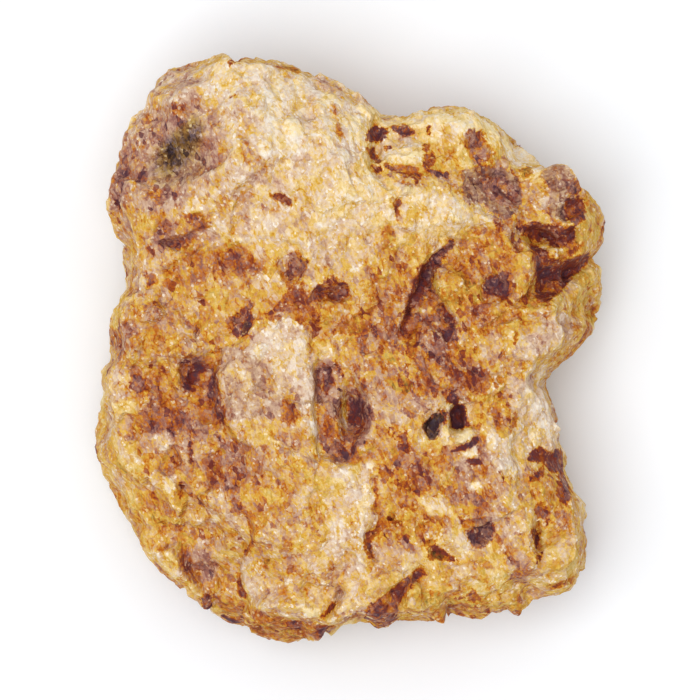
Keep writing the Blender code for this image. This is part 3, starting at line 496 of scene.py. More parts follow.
    ([(9, -35.8), (10.6, -36.6), (13, -40), (11.6, -40), (9.6, -38)], 0.7, 0.5, 0.5),
    ([(14, -38.2), (17.2, -36.8), (16.6, -38.8), (18.8, -40), (21.4, -41.6), (20, -42.2), (15.6, -41.4),
      (15.2, -39)], 0.86, -0.4, 0.5),
    ([(18.6, -40.2), (21.2, -41.2), (21, -42), (18.4, -41)], 0.92, 0.4, 0.3),
    ([(22, -33.8), (27.8, -33), (28.4, -36), (26.8, -39), (24, -39), (22.4, -36.4)], 0.74, 1.02, 0.8),
    ([(22, -34), (24, -34), (24.4, -36), (22.6, -36)], 0.7, 0.3, 0.6),
    ([(19.4, -31), (21.4, -33), (23.8, -38.6), (25, -41.4), (22, -41.8), (19.4, -38)], 0.3, 0.3, 0.8),
    ([(13.6, -29.2), (17, -29), (19.6, -31.4), (18, -33.2), (14.8, -32.2)], 0.28, 0.2, 0.8),
    ([(11.6, -32), (15, -31.6), (15.6, -35.4), (13, -36.4)], 0.52, -0.15, 0.6),
    ([(11.2, -22.8), (14, -22.4), (16, -25), (15.2, -28.2), (13, -28.6), (11.4, -27)], 0.75, 0.1, 0.8),
    ([(5.2, -22.2), (7.4, -22.8), (8.8, -24.6), (7.8, -26.2), (5.8, -26.2), (6.4, -24.4)], 0.82, 0.5, 0.5),
    ([(9.2, -28), (11.4, -26.4), (11, -31.2), (10, -31.2)], 0.62, 0.4, 0.7),
    ([(7.3, -15.4), (8.4, -15), (8.8, -17.8), (8, -17.4)], 0.76, 0.4, 0.4),
    ([(9.6, -15.4), (10.8, -16.4), (11.8, -20.8), (10, -19.6)], 0.78, 0.35, 0.4),
    ([(14.2, -14.6), (16.4, -12.8), (18.8, -11.6), (18.6, -13.8), (17.4, -14.6), (17.6, -17), (15.8, -17.6),
      (14.4, -16)], 0.88, 1.2, 0.4),
    ([(19.4, -12), (22.6, -10.6), (23.6, -15), (21.4, -16), (20, -15.4)], 0.96, 0.8, 0.35),
    ([(18.8, -9.6), (20.2, -8.2), (21.6, -9.4), (21, -11.4)], 0.92, 0.8, 0.35),
    ([(19.6, -4.8), (21.4, -5.2), (21.2, -8.4), (19.8, -8.4)], 0.72, 0.35, 0.6),
    ([(19.8, -20.1), (21.6, -19.4), (25.1, -17), (25.3, -18.6), (22.6, -20)], 0.95, 0.8, 0.3),
    ([(21, -20.6), (25.2, -19), (25.2, -21.2)], 0.1, 0.3, 0.3),
    ([(22.6, -21.4), (25.8, -21.4), (26, -22.8), (23.4, -22.6)], 0.8, 0.5, 0.4),
    ([(18, -15.2), (19.4, -14), (19.6, -17.4), (20.2, -19.4), (18, -18.4)], 0.2, 0.05, 0.4),
    ([(22.6, -5), (24.6, -3.6), (27.2, -4), (28.2, -6.6), (26.6, -8.8), (24, -8.2)], 0.73, 0.2, 0.7),
    ([(30, -8.6), (32.4, -9.2), (31, -11.4), (33.2, -13), (33.2, -14.4), (31, -17.2), (29.6, -17.6),
      (28, -14.6), (28, -12)], 0.55, 0.1, 0.6),
    ([(26.6, -17.6), (33.6, -10.6), (36.8, -15), (34.4, -20), (33.4, -26.4), (30.4, -24.6),
      (29.4, -21)], 0.25, 0.4, 1.2),
    ([(29.2, -12.4), (30.6, -12.6), (31, -14.8), (29.8, -16.6), (28.8, -15)], 0.62, 0.25, 0.5),
    ([(35.4, -22.2), (36, -20), (38, -19.2), (39.6, -20.6), (42, -19), (43.6, -20), (43.6, -24.6),
      (39.8, -24.2), (38.4, -22.6)], 0.84, 0.4, 0.5),
    ([(41.6, -24), (44, -24.4), (43.8, -29.6), (42.4, -31.4), (41, -28.6)], 0.84, 0.6, 0.5),
    ([(38.6, -24), (37.6, -25.6), (35.6, -27), (36.6, -24.8), (37.6, -23.4)], 0.84, 0.4, 0.4),
    ([(36.2, -31), (38, -30.2), (39.6, -32), (38.8, -33.4), (36.8, -33)], 0.72, 0.2, 0.5),
    ([(36.1, -35.4), (37, -35.2), (37.3, -38), (36.8, -39.4), (36.1, -37.8)], 0.95, 0.6, 0.3),
    ([(38, -39.4), (38, -41), (36.6, -42.2), (36.8, -41)], 0.82, 0.4, 0.3),
    ([(37, -33.8), (39.8, -33.4), (40, -34.6), (37.6, -34.8)], 0.76, 0.5, 0.4),
    ([(39, -46.8), (42, -46), (45, -45.2), (45, -46.2), (41.6, -47)], 0.64, 0.15, 0.5),
    ([(12, -50.6), (24, -50), (36, -50.4), (34, -53.4), (20, -54), (10, -54.4)], 0.52, 0.0, 1.2),
    ([(22.6, -48.8), (24.6, -47.4), (26, -49.6), (23.8, -50.2)], 0.74, 0.45, 0.5),
    ([(34, -43), (35.4, -43), (35, -46.4), (32, -45.4), (32.4, -43.4)], 0.54, 0.3, 1),
    # gash and the lobe on the right
    # the next four patches darken the gash: its steep face, the shade below its upper ledge, the line along
    # its edge and its foot, partly as painted shade over the stone's own brown
    ([(13.4, 16.6), (16.6, 18), (16.4, 13), (17.6, 9.6), (20.6, 6), (21.2, 1), (20, -4), (17.4, -7),
      (14.6, -6), (12, -1), (10, 4), (12, 10)], 0.66, 0.6, 0.9),
    ([(14.6, 16.6), (16.4, 18.8), (20, 21.8), (20.8, 21), (18.4, 17.6), (16.8, 14.4),
      (15, 13)], 0.72, 0.6, 0.6),
    ([(14.4, 16.6), (12.6, 13.8), (11.4, 9), (9.8, 4.4), (11, 5), (13.2, 9.6), (14.8, 13)], 0.84, 0.45, 0.5),
    ([(12, 14), (15.4, 15), (17, 10), (16.6, 6), (13.6, 5), (12, 8)], 0.8, 0.75, 1),
    ([(11.6, 3.6), (13, 4), (13, -2), (11.4, -1)], 0.66, -0.2, 0.8),
    ([(5, 12.6), (8, 12.2), (10, 10), (10.2, 5.8), (8.6, 4), (6, 6.6), (5.6, 10)], 0.66, 0.35, 0.8),
    ([(-3.4, 3.4), (-1.6, 6.6), (1.4, 7.4), (4, 7.2), (4.4, 4), (1.4, 2.8)], 0.7, -0.2, 0.7),
    ([(1.2, 2.8), (3.3, 3.2), (3.2, -3), (1.6, -3)], 0.58, 0.5, 0.6),
    ([(7, -5.8), (8.4, -7.6), (11, -8.8), (12.6, -7.4), (12, -5.6), (9, -4.8)], 0.52, -0.5, 0.7),
    ([(13, -5), (15.4, -5), (15.4, -9), (13.6, -9)], 0.6, 0.2, 0.8),
    ([(6.4, -1), (9, 0), (13, -1.4), (12, -3.6), (8, -3)], 0.5, -0.2, 0.8),
    ([(26, 12.4), (27, 14.2), (28.4, 14.4), (30.6, 15.6), (31.6, 15), (31.4, 12.4), (30.6, 9.8), (29.2, 11),
      (27.4, 10.8)], 0.8, 0.6, 0.6),
    ([(24.4, 7.6), (26, 9.2), (28.4, 10), (26.8, 7.8), (25, 6.8)], 0.74, 0.25, 0.6),
    ([(22, 16.8), (24.4, 16), (24, 14), (22.6, 14.4)], 0.66, 0.1, 0.6),
    ([(28.6, 25), (30.2, 24.4), (30.2, 21.4), (29, 22.8)], 0.74, 0.3, 0.4),
    ([(32.2, 3.6), (33.2, 3), (32.8, 0.8), (32.2, 1)], 0.76, 0.3, 0.3),
    ([(31.4, -1), (33.4, 2.4), (36, 3.4), (40, 6.6), (42.6, 8), (44.4, 6), (43, 2.6), (40, 0.5), (36, -1.4),
      (33, -3)], 0.37, 0.8, 0.9),
    ([(41, 6), (44, 7), (44, 3), (42, 2)], 0.34, 0.5, 1),
    # shelf and the ridge below it
    ([(13, 22), (16, 21), (20, 22.4), (24, 24.5), (28, 25.4), (26.6, 28), (22, 29.4), (12, 32), (5, 34.6),
      (0, 34.4), (8, 29.6), (10, 27)], 0.2, 0.2, 0.9),
    ([(7.8, 30), (10.2, 29.8), (9.5, 27), (9.2, 25.2), (8.8, 27.6)], 0.68, 0.3, 0.4),
    ([(6.4, 24), (8.4, 24.6), (9, 20), (6, 19)], 0.5, 0.0, 1),
    ([(3, 41), (3.4, 43.4), (5, 44.4), (6.8, 43.8), (7.3, 42.2), (5.6, 41.2)], 0.86, 0.65, 0.5),
    ([(7.4, 44.2), (11, 44.6), (13.2, 43.6), (12, 42.2), (10, 42.6)], 0.68, 0.6, 0.5),
    ([(6, 39.6), (10, 40.6), (11.4, 42.4), (14.2, 42), (14.4, 36.6), (6.4, 37.4)], 0.1, 0.2, 0.5),
    ([(14.4, 41.6), (15.5, 40.6), (15.3, 39), (14.4, 39.6)], 0.82, 0.2, 0.3),
    ([(14.2, 36.4), (14.6, 38.6), (16.2, 39), (17.2, 37.6), (16.2, 36.2)], 0.76, 0.6, 0.4),
    ([(6.8, 40.6), (8.4, 40.6), (8.2, 39.8), (7, 39.8)], 0.8, 0.3, 0.3),
    ([(3, 40), (4.4, 39.8), (6.4, 37.2), (5.8, 36.2), (4.4, 37.8)], 0.76, 0.35, 0.5),
    ([(4, 36.6), (6.8, 36), (6, 34.8), (4.4, 35.2)], 0.72, 0.5, 0.4),
    ([(6.8, 36.8), (14, 36.4), (13.4, 35.4), (8, 35.6)], 0.68, 0.6, 0.4),
    ([(10.4, 35.2), (14.4, 35.2), (13.2, 32.8), (11.8, 34)], 0.74, 0.25, 0.4),
    ([(15, 35.6), (19.6, 35.2), (19.6, 33.8), (16, 34.2)], 0.74, 0.75, 0.4),
    ([(15.4, 44.4), (15.9, 44.4), (15.8, 42.8), (15.3, 43)], 0.86, 0.2, 0.25),
    ([(21.6, 42.4), (23.6, 43.6), (26.8, 43.2), (27, 41), (28.6, 39.4), (27.6, 37.4), (24, 38),
      (22.6, 40.4)], 0.6, 0.4, 0.8),
    ([(23.4, 43.2), (26, 43), (25.6, 41), (23.6, 41.4)], 0.74, 0.6, 0.6),
    ([(21.8, 35.4), (25, 36.4), (31, 35.8), (33.6, 34), (33.8, 29), (32.6, 26.8), (30.4, 25.6), (26, 29),
      (22.6, 29.2)], 0.6, 1.04, 0.8),
    ([(26, 34), (31, 34.4), (33, 31), (32.6, 28), (28.6, 29.4), (26.4, 31)], 0.68, 0.95, 0.9),
    ([(33, 35.6), (35.8, 36.8), (36.6, 35), (34.4, 33.6)], 0.66, -0.1, 0.5),
    ([(37.4, 34.6), (40, 37.4), (43.4, 36.6), (45, 34), (43, 31), (43, 25), (40, 25.2), (39, 28.5),
      (40, 31.4)], 0.62, 1.02, 0.9),
    ([(42.6, 33.6), (45.6, 34.2), (46, 31.4), (44, 31)], 0.8, 0.6, 0.6),
    # the next two patches darken the round hollow near the edge and the recess under the lip, partly as
    # painted shade over the stone's brown
    ([(43, 29.8), (45.4, 30.4), (46.8, 28.4), (46, 25.2), (44.4, 24.2), (42.8, 26.6)], 0.86, 0.4, 0.5),
    ([(33, 24.4), (36, 25.2), (41.4, 25), (44.6, 24), (44.6, 22), (41.6, 20), (38, 21.4),
      (35, 22.8)], 0.78, 0.5, 0.6),
    # the next three patches: thin lines of painted shadow under the lip
    ([(36, 25), (41.2, 24.8), (40.8, 24.2), (37, 24.2)], 0.92, 0.3, 0.3),
    ([(41.4, 23.6), (44, 24), (43.6, 22.8), (41.6, 22.8)], 0.93, 0.5, 0.3),
    ([(36, 24), (37.8, 23), (39.8, 22), (39.4, 21.2), (36.6, 22.4)], 0.92, 0.6, 0.3),
    ([(37.4, 22.6), (40, 21.8), (39.4, 20.8), (38, 21.2)], 0.4, 0.3, 0.3),
    # the next two patches darken the cavity, partly as painted shade over the stone's brown
    ([(35.4, 21.8), (38, 20), (40, 17.8), (46, 18.6), (47.2, 20), (48.2, 19), (46, 16), (41.4, 11.4),
      (39.6, 9.6), (36.8, 9.6), (37.2, 14.8), (36, 19.4)], 0.84, 0.5, 0.6),
    ([(37, 15.4), (40, 16), (44, 17), (47.2, 19.4), (45, 15.8), (42, 14.2), (38, 13.8)], 0.96, 0.5, 0.7),
    ([(38.6, 18.4), (42, 19.2), (45, 21), (46.4, 20.4), (42.4, 17.8)], 0.62, 0.0, 0.6),
]

# Cleavage faces and flecks that glint: x, y, half length, half width, turn in degrees, shine; shine makes
# them smoother and, as a painted glint, lighter in colour.
FLAKES = [
    (22.6, -17.2, 2.7, 1.1, 26, 0.5),
    (23.8, -20.6, 1.5, 0.5, -8, 0.6),
    (-6.4, -19.8, 1.1, 0.5, 20, 0.6),
    (37.8, -33.9, 0.9, 0.45, -30, 1.0),
    (24.6, -26.6, 0.9, 0.7, 0, 1.0),
    (19.6, -10.9, 1.2, 0.4, 10, 0.8),
    (4.0, -23.0, 0.7, 0.5, 0, 1.0),
    (29.6, -23.4, 0.5, 0.4, 0, 1.0),
    (32.4, -24.2, 0.4, 0.3, 0, 1.0),
    (-10.8, 43, 1.2, 3.0, 10, 0.5),
    (-19, 46.8, 1.4, 0.4, -20, 0.6),
    (-17, 38, 0.6, 0.9, 20, 0.8),
    (13.6, 7.8, 0.9, 0.35, 0, 0.6),
    (15.8, 7.9, 0.6, 0.35, 20, 0.6),
    (17.6, 5.4, 0.6, 0.5, 0, 0.6),
    (22.0, 12.6, 0.8, 0.4, -20, 0.6),
    (18.4, 13.2, 0.7, 0.7, 0, 0.6),
    (8.2, -16.4, 0.3, 1.3, 10, 0.8),
    (-0.9, -14.6, 0.35, 1.8, 6, 0.7),
    (11.2, -39.0, 0.35, 1.2, 30, 0.5),
    (-21.4, -4.6, 0.5, 1.0, 0, 0.8),
    (-19.4, -1.4, 0.4, 0.8, 0, 0.8),
    (-26.6, -33.4, 1.0, 0.5, 0, 0.8),
    (-26.4, -16.4, 1.3, 0.4, -10, 0.6),
    (1.2, 15.8, 0.9, 0.4, -20, 0.8),
    (-1.4, -33.4, 0.7, 0.35, 20, 0.6),
    (8, 29.4, 0.8, 0.5, 0, 0.6),
]

# Where streaks lie nearly level; elsewhere they stand nearly upright:
# x, y, half length, half width, turn in degrees, share.
LEVEL_STREAKS = [
    (-12, -46, 14, 9, 0, 1.0),
    (42, -42, 9, 9, 0, 1.0),
    (-10, 50, 20, 6, -16, 0.8),
    (30, 33, 12, 7, 0, 0.8),
    (20, -50, 14, 5, 0, 0.9),
    (-38, 36, 12, 12, 0, 0.4),
    (40, 6, 9, 6, 0, 0.7),
]


def scramble(cell, seed):
    """A repeatable number from 0 to 1 for each lattice cell."""
    mask = 0xFFFFFFFF
    mixed = cell[..., 0] * 73856093 ^ cell[..., 1] * 19349663 ^ cell[..., 2] * 83492791
    mixed = (mixed + seed * 2654435761) & mask
    mixed = ((mixed ^ (mixed >> 15)) * 2246822519) & mask
    mixed = ((mixed ^ (mixed >> 13)) * 3266489917) & mask
    return (mixed ^ (mixed >> 16)) / mask


def waves(points, size, seed):
    """Smooth random heights from -1 to 1 that change over about one size."""
    scaled = points / size
    cell = np.floor(scaled).astype(np.int64)
    part = scaled - cell
    fade = smooth_step(part)
    total = np.zeros(len(points))
    for corner in np.ndindex(2, 2, 2):
        shift = np.array(corner)
        weight = np.prod(np.where(shift, fade, 1 - fade), axis=1)
        total += weight * scramble(cell + shift, seed)
    return total * 2 - 1


def rough(points, size, seed):
    """Three sizes of waves laid over each other, each half as high as the one before."""
    total = waves(points, size, seed)
    total += waves(points, size / 2, seed + 1) / 2
    return total + waves(points, size / 4, seed + 2) / 4


def uneven(points, mean, height, size, seed):
    """Values that stray from a mean by rough waves of a height and a size."""
    return mean + height * rough(points, size, seed)


def turn_points(points, seed):
    """The points turned about two axes by angles that depend on the seed."""
    a, b = seed * 1.3, seed * 2.1
    about_z = np.array([[math.cos(a), -math.sin(a), 0], [math.sin(a), math.cos(a), 0], [0, 0, 1]])
    about_x = np.array([[1, 0, 0], [0, math.cos(b), -math.sin(b)], [0, math.sin(b), math.cos(b)]])
    return points @ about_z @ about_x


def smooth_step(share):
    """Eases a share from 0 to 1 with level ends."""
    share = np.clip(share, 0, 1)
    return share * share * (3 - 2 * share)


def blend_spots(x, y, spots, reach):
    """Mean of the spot heights, each weighted by a bell curve of its distance."""
    total = np.zeros(len(x))
    weights = np.zeros(len(x))
    for spot_x, spot_y, height in spots:
        weight = np.exp(-((x - spot_x) ** 2 + (y - spot_y) ** 2) / (2 * reach**2)) + 1e-9
        total += weight * height
        weights += weight
    return total / weights


def across_oval(x, y, middle_x, middle_y, half_length, half_width, turn):
    """Positions along and across a turned oval, as shares of its half length and half width."""
    angle = math.radians(turn)
    along = ((x - middle_x) * math.cos(angle) + (y - middle_y) * math.sin(angle)) / half_length
    across = ((y - middle_y) * math.cos(angle) - (x - middle_x) * math.sin(angle)) / half_width
    return along, across


def swell(x, y, *oval_and_height):
    """An oval bump: height times (1 - q squared) to the power 1.5, where q is 1 on the oval's rim."""
    *oval, height = oval_and_height
    along, across = across_oval(x, y, *oval)
    inside = np.clip(1 - along**2 - across**2, 0, 1)
    return height * inside * np.sqrt(inside)


def slab(x, y, corners, height):
    """A block with straight sides: as high as the distance inside the nearest side allows."""
    inside = np.full(len(x), 1e3)
    for (ax, ay), (bx, by) in zip(corners, corners[1:] + corners[:1]):
        length = math.hypot(bx - ax, by - ay)
        inside = np.minimum(inside, ((bx - ax) * (y - ay) - (by - ay) * (x - ax)) / length)
    return height * np.clip(inside / EDGE, 0, 1)


def along_route(x, y, route):
    """Distance to a route of straight runs, negative on its left, and how far along the nearest point is."""
    nearest = np.full(len(x), 1e3)
    side = np.ones(len(x))
    place = np.zeros(len(x))
    travelled = 0.0
    for (ax, ay), (bx, by) in zip(route, route[1:]):
        run_x, run_y = bx - ax, by - ay
        length = math.hypot(run_x, run_y)
        share = np.clip(((x - ax) * run_x + (y - ay) * run_y) / length**2, 0, 1)
        distance = np.hypot(x - ax - share * run_x, y - ay - share * run_y)
        closer = distance < nearest
        nearest = np.where(closer, distance, nearest)
        turn = run_y * (x - ax) - run_x * (y - ay)
        side = np.where(closer, np.sign(turn), side)
        place = np.where(closer, travelled + share * length, place)
        travelled += length
    return nearest * side, place / travelled


def ledge(x, y, route, drop, reach):
    """A step down to the right of a route, healing over its reach and towards both ends."""
    distance, place = along_route(x, y, route)
    ends = 1 - np.abs(2 * place - 1) ** 6
    fall = np.clip(distance / EDGE, 0, 1) * np.clip(1 - distance / reach, 0, 1)
    return -drop * ends * fall


def groove(x, y, route, half_width, depth):
    """A V-shaped cut along a route."""
    distance, _ = along_route(x, y, route)
    return -depth * np.clip(1 - np.abs(distance) / half_width, 0, 1)


def face_relief(x, y):
    """Blocks, ledges, hollows and cracks of the broken face, with wandering edges."""
    flat = np.stack([x, y, np.zeros(len(x))], axis=1)
    x = x + WARP * rough(flat, WARP_SIZE, SEED + 20)
    y = y + WARP * rough(flat, WARP_SIZE, SEED + 30)
    height = np.zeros(len(x))
    for form, rows in ((swell, SWELLS), (slab, SLABS), (ledge, LEDGES), (groove, GROOVES)):
        for row in rows:
            height += form(x, y, *row)
    return height


def girdle_height(bearing):
    """Height of the widest line of the stone at each bearing."""
    degrees = [row[0] for row in GIRDLE] + [GIRDLE[0][0] + 360]
    heights = [row[1] for row in GIRDLE] + [GIRDLE[0][1]]
    return np.interp(np.degrees(bearing) % 360, degrees, heights)


def outline_radius(bearing):
    """Distance from the middle to the outline at each bearing."""
    corners = np.array(OUTLINE)
    angles = np.arctan2(corners[:, 1], corners[:, 0])
    order = np.argsort(angles)
    return np.interp(bearing, angles[order], np.hypot(*corners.T)[order], period=2 * math.pi)


def smooth_radius(bearing):
    """The outline with its small notches evened out: the mean over a fan of bearings."""
    fan = np.radians(np.linspace(-SMOOTH_TURN, SMOOTH_TURN, 9))
    return np.mean([outline_radius(bearing + turn) for turn in fan], axis=0)


def cut_by_breaks(x, y, height, breaks, side):
    """Trims the height to flat breaks, each rising or falling evenly inwards from its place on the rim."""
    corners = np.array(OUTLINE)
    for bearing, rim_height, slope in breaks:
        across, up = math.cos(math.radians(bearing)), math.sin(math.radians(bearing))
        farthest = (corners @ (across, up)).max()
        inward = farthest - x * across - y * up
        plane = rim_height + side * slope * inward
        height = np.minimum(height, plane) if side > 0 else np.maximum(height, plane)
    return height


def to_disc(squares):
    """Bends a square sheet into a disc, ring by ring; returns the share of the way out and the bearing."""
    steps = np.linspace(-1, 1, squares + 1)
    a, b = np.meshgrid(steps, steps, indexing="ij")
    a, b = a.ravel(), b.ravel()
    wide = np.abs(a) >= np.abs(b)
    reach = np.where(wide, a, b)
    safe = np.where(reach == 0, 1.0, reach)
    bearing = np.where(wide, math.pi / 4 * b / safe, math.pi / 2 - math.pi / 4 * a / safe)
    return np.abs(reach), np.where(reach < 0, bearing + math.pi, bearing)


def profile(share, squareness):
    """Radius and level at even steps along a domed profile, where radius^n + level^n is 1."""
    turn = np.linspace(0, math.pi / 2, PROFILE_STEPS)
    radius = np.sin(turn) ** (2 / squareness)
    level = np.cos(turn) ** (2 / squareness)
    length = np.concatenate([[0], np.cumsum(np.hypot(np.diff(radius), DOME_ASPECT * np.diff(level)))])
    return np.interp(share, length / length[-1], radius), np.interp(share, length / length[-1], level)


def lay_out(share, bearing, side):
    """One plain sheet of the stone (side 1 the broken face, side -1 the back): places, directions, level."""
    radius, level = profile(share, SQUARENESS[side])
    reach = smooth_radius(bearing)
    x = radius * reach * np.cos(bearing)
    y = radius * reach * np.sin(bearing)
    girdle = girdle_height(bearing)
    spots, spread = (FACE_SPOTS, SPOT_REACH) if side > 0 else (BACK_SPOTS, 2 * SPOT_REACH)
    height = girdle + (blend_spots(x, y, spots, spread) - girdle) * level
    height = cut_by_breaks(x, y, height, UPPER_BREAKS if side > 0 else LOWER_BREAKS, side)
    outwards = np.sqrt(1 - level**2)
    direction = np.stack([outwards * np.cos(bearing), outwards * np.sin(bearing), side * level], axis=1)
    return np.stack([x, y, height], axis=1), direction, level


def leans(places, squares):
    """Outward normals, as long as the area round each point, of the face sheet and then the back sheet."""
    found = []
    for side, sheet in zip((1, -1), np.split(places, 2)):
        grid = sheet.reshape(squares + 1, squares + 1, 3)
        found.append(side * np.cross(np.gradient(grid, axis=0), np.gradient(grid, axis=1)).reshape(-1, 3))
    return np.concatenate(found)


def nearest_seeds(places, size, seed):
    """Numbers of the two nearest scattered seeds, one to each lattice cube, and both distances."""
    scaled = turn_points(places, seed) / size
    cube = np.floor(scaled).astype(np.int64)
    owners = np.zeros((2, len(places)), np.int64)
    distances = np.full((2, len(places)), np.inf)
    for shift in np.ndindex(3, 3, 3):
        cell = cube + np.array(shift) - 1
        spot = cell + np.stack([scramble(cell, seed + part) for part in range(3)], axis=1)
        distance = np.sqrt(((scaled - spot) ** 2).sum(axis=1))
        number = (cell[:, 0] * 1024 + cell[:, 1]) * 1024 + cell[:, 2]
        first = distance < distances[0]
        second = ~first & (distance < distances[1])
        distances[1] = np.where(first, distances[0], np.where(second, distance, distances[1]))
        owners[1] = np.where(first, owners[0], np.where(second, number, owners[1]))
        distances[0] = np.where(first, distance, distances[0])
        owners[0] = np.where(first, number, owners[0])
    return owners, distances * size


def flat_breaks(places, normals, directions, size, lean, step, seed):
    """Pushes every point along its direction onto the mean plane of its grain.

    A grain is all the points nearest to one scattered seed. The planes lean and stand off at random, and
    two planes blend within a crease of their common edge. Returns the places, and for each point the random
    mark and the middle of its grain.
    """
    owners, distances = nearest_seeds(places, size, seed)
    kinds, grain = np.unique(owners[0], return_inverse=True)
    count = np.bincount(grain)
    middle = np.stack([np.bincount(grain, places[:, part]) / count for part in range(3)], axis=1)
    normal = np.stack([np.bincount(grain, normals[:, part]) for part in range(3)], axis=1)
    normal /= np.linalg.norm(normal, axis=1, keepdims=True) + 1e-9
    marks = np.stack([kinds, kinds // 7, kinds % 1009], axis=1)
    chance = np.stack([scramble(marks, seed + 5 + part) for part in range(4)], axis=1) * 2 - 1
    normal += lean * chance[:, :3]
    normal /= np.linalg.norm(normal, axis=1, keepdims=True)
    middle += normal * step * chance[:, 3:]
    other = np.minimum(np.searchsorted(kinds, owners[1]), len(kinds) - 1)
    other = np.where(kinds[other] == owners[1], other, grain)
    push = np.zeros(len(places))
    own_share = 0.5 + 0.5 * np.clip((distances[1] - distances[0]) / CREASE, 0, 1)
    for near, share in ((grain, own_share), (other, 1 - own_share)):
        gap = ((middle[near] - places) * normal[near]).sum(axis=1)
        facing = np.maximum((directions * normal[near]).sum(axis=1), LEAST_FACING)
        push += share * gap / facing
    limit = PUSH_LIMIT * size
    push = limit * np.tanh(push / limit)
    return places + directions * push[:, None], scramble(marks, seed + 9)[grain], middle[grain]


def fit_outline(places):
    """Draws the stone in or out so that its outline from above is the wanted one.

    A notch runs down the whole side. A corner that stands out does so only near the height of the
    widest point.
    """
    bearing = np.arctan2(places[:, 1], places[:, 0])
    radius = np.hypot(places[:, 0], places[:, 1])
    fan = np.floor((bearing + math.pi) / (2 * math.pi) * FANS).astype(int) % FANS
    order = np.lexsort((radius, fan))
    last = np.append(fan[order][1:] != fan[order][:-1], True)
    widest = order[last]
    middle = (fan[widest] + 0.5) / FANS * 2 * math.pi - math.pi
    wide = radius[widest]
    wide = evened_round(np.maximum(wide, np.maximum(np.roll(wide, 1), np.roll(wide, -1))), 1)
    ratio = outline_radius(middle) / wide
    notch = evened_round(np.minimum(ratio, evened_round(ratio, NOTCH_MEAN)), 1)
    height = evened_round(places[widest, 2], HEIGHT_MEAN)
    rows = [wide, height, ratio, evened_round(ratio, INNER_MEAN), notch]
    wide, height, exact, even, notch = (np.interp(bearing, middle, row, period=2 * math.pi) for row in rows)
    upright = np.exp(-(((places[:, 2] - height) / CORNER_HEIGHT) ** 2))
    near = smooth_step((radius / wide - RIM_START) / RIM_BAND)
    scale = even * (1 - near) + near * (upright * exact + (1 - upright) * notch)
    scale = 1 + (scale - 1) * smooth_step(radius / wide / CORE)
    return places * np.stack([scale, scale, np.ones(len(scale))], axis=1)


def evened_round(values, reach):
    """A closed row of values, each replaced by the mean of its neighbours on both sides."""
    blend = np.ones(2 * reach + 1) / (2 * reach + 1)
    return np.convolve(np.concatenate([values[-reach:], values, values[:reach]]), blend, "valid")


def shape_stone(squares, breaks):
    """Places of the two sheets of the stone, then each point's grain mark and grain middle at every size."""
    share, bearing = to_disc(squares)
    sheets = [lay_out(share, bearing, side) for side in (1, -1)]
    places, directions, level = (np.concatenate(parts) for parts in zip(*sheets))
    grains = []
    for size, lean, step in breaks:
        if size == FIRST_SMALL_BREAK:
            places = fit_outline(places)
            places[: len(share), 2] += face_relief(*places[: len(share), :2].T) * level[: len(share)]
        normals = leans(places, squares)
        places, *grain = flat_breaks(places, normals, directions, size, lean, step, SEED + int(10 * size))
        grains.append(grain)
    places = places + directions * (UNEVEN * rough(places, UNEVEN_SIZE, SEED + 90))[:, None]
    return fit_outline(places), grains


def sew(squares):
    """Which points of the two sheets are kept, and the square faces between them.

    The rim of the back sheet is left out: its faces use the rim points of the face sheet.
    """
    side = squares + 1
    number = np.arange(side * side).reshape(side, side)
    rim = np.ones((side, side), bool)
    rim[1:-1, 1:-1] = False
    inner = np.cumsum(~rim.ravel()).reshape(side, side) - 1
    back = np.where(rim, number, side * side + inner)
    quads = []
    for index, turn in ((number, 1), (back, -1)):
        corners = [index[:-1, :-1], index[1:, :-1], index[1:, 1:], index[:-1, 1:]][::turn]
        quads.append(np.stack([corner.ravel() for corner in corners], axis=1))
    keep = np.concatenate([np.ones(side * side, bool), ~rim.ravel()])
    return keep, np.concatenate(quads)


def evened(places, squares, reach):
    """Every sheet with each place moved to the mean of the square of places round it."""
    width = 2 * reach + 1
    found = []
    for sheet in np.split(places, 2):
        grid = sheet.reshape(squares + 1, squares + 1, -1)
        grid = np.pad(grid, ((reach, reach), (reach, reach), (0, 0)), "edge")
        for axis in (0, 1):
            total = np.cumsum(grid, axis=axis)
            total = np.concatenate([np.take(total, [0], axis=axis) * 0, total], axis=axis)
            size = total.shape[axis]
            ahead = np.take(total, range(width, size), axis=axis)
            behind = np.take(total, range(size - width), axis=axis)
            grid = (ahead - behind) / width
        found.append(grid.reshape(sheet.shape))
    return np.concatenate(found)


def standing_out(places, normals, squares, reach):
    """How far each point stands out (or, below zero, lies in a hollow) from the evened surface."""
    return ((places - evened(places, squares, reach)) * normals).sum(axis=1)


def add_object(name, data):
    """A new object in the scene."""
    added = bpy.data.objects.new(name, data)
    bpy.context.scene.collection.objects.link(added)
    return added


def mesh_from(name, places, polygons):
    """A mesh from whole arrays of positions and of equal-sided polygons."""
    mesh = bpy.data.meshes.new(name)
    sides = polygons.shape[1]
    mesh.vertices.add(len(places))
    mesh.vertices.foreach_set("co", places.astype(np.float32).ravel())
    mesh.loops.add(polygons.size)
    mesh.loops.foreach_set("vertex_index", polygons.astype(np.int32).ravel())
    mesh.polygons.add(len(polygons))
    mesh.polygons.foreach_set("loop_start", np.arange(0, polygons.size, sides, dtype=np.int32))
    mesh.update(calc_edges=True)
    return mesh


def thin_out(stone, wanted):
    """Joins up the flat breaks until the wanted number of triangles is left."""
    stone.data.calc_loop_triangles()
    thinner = stone.modifiers.new("join_flat_breaks", "DECIMATE")
    thinner.ratio = wanted / len(stone.data.loop_triangles)
    seen = stone.evaluated_get(bpy.context.evaluated_depsgraph_get())
    thinned = bpy.data.meshes.new_from_object(seen)
    stone.modifiers.remove(thinner)
    stone.data = thinned


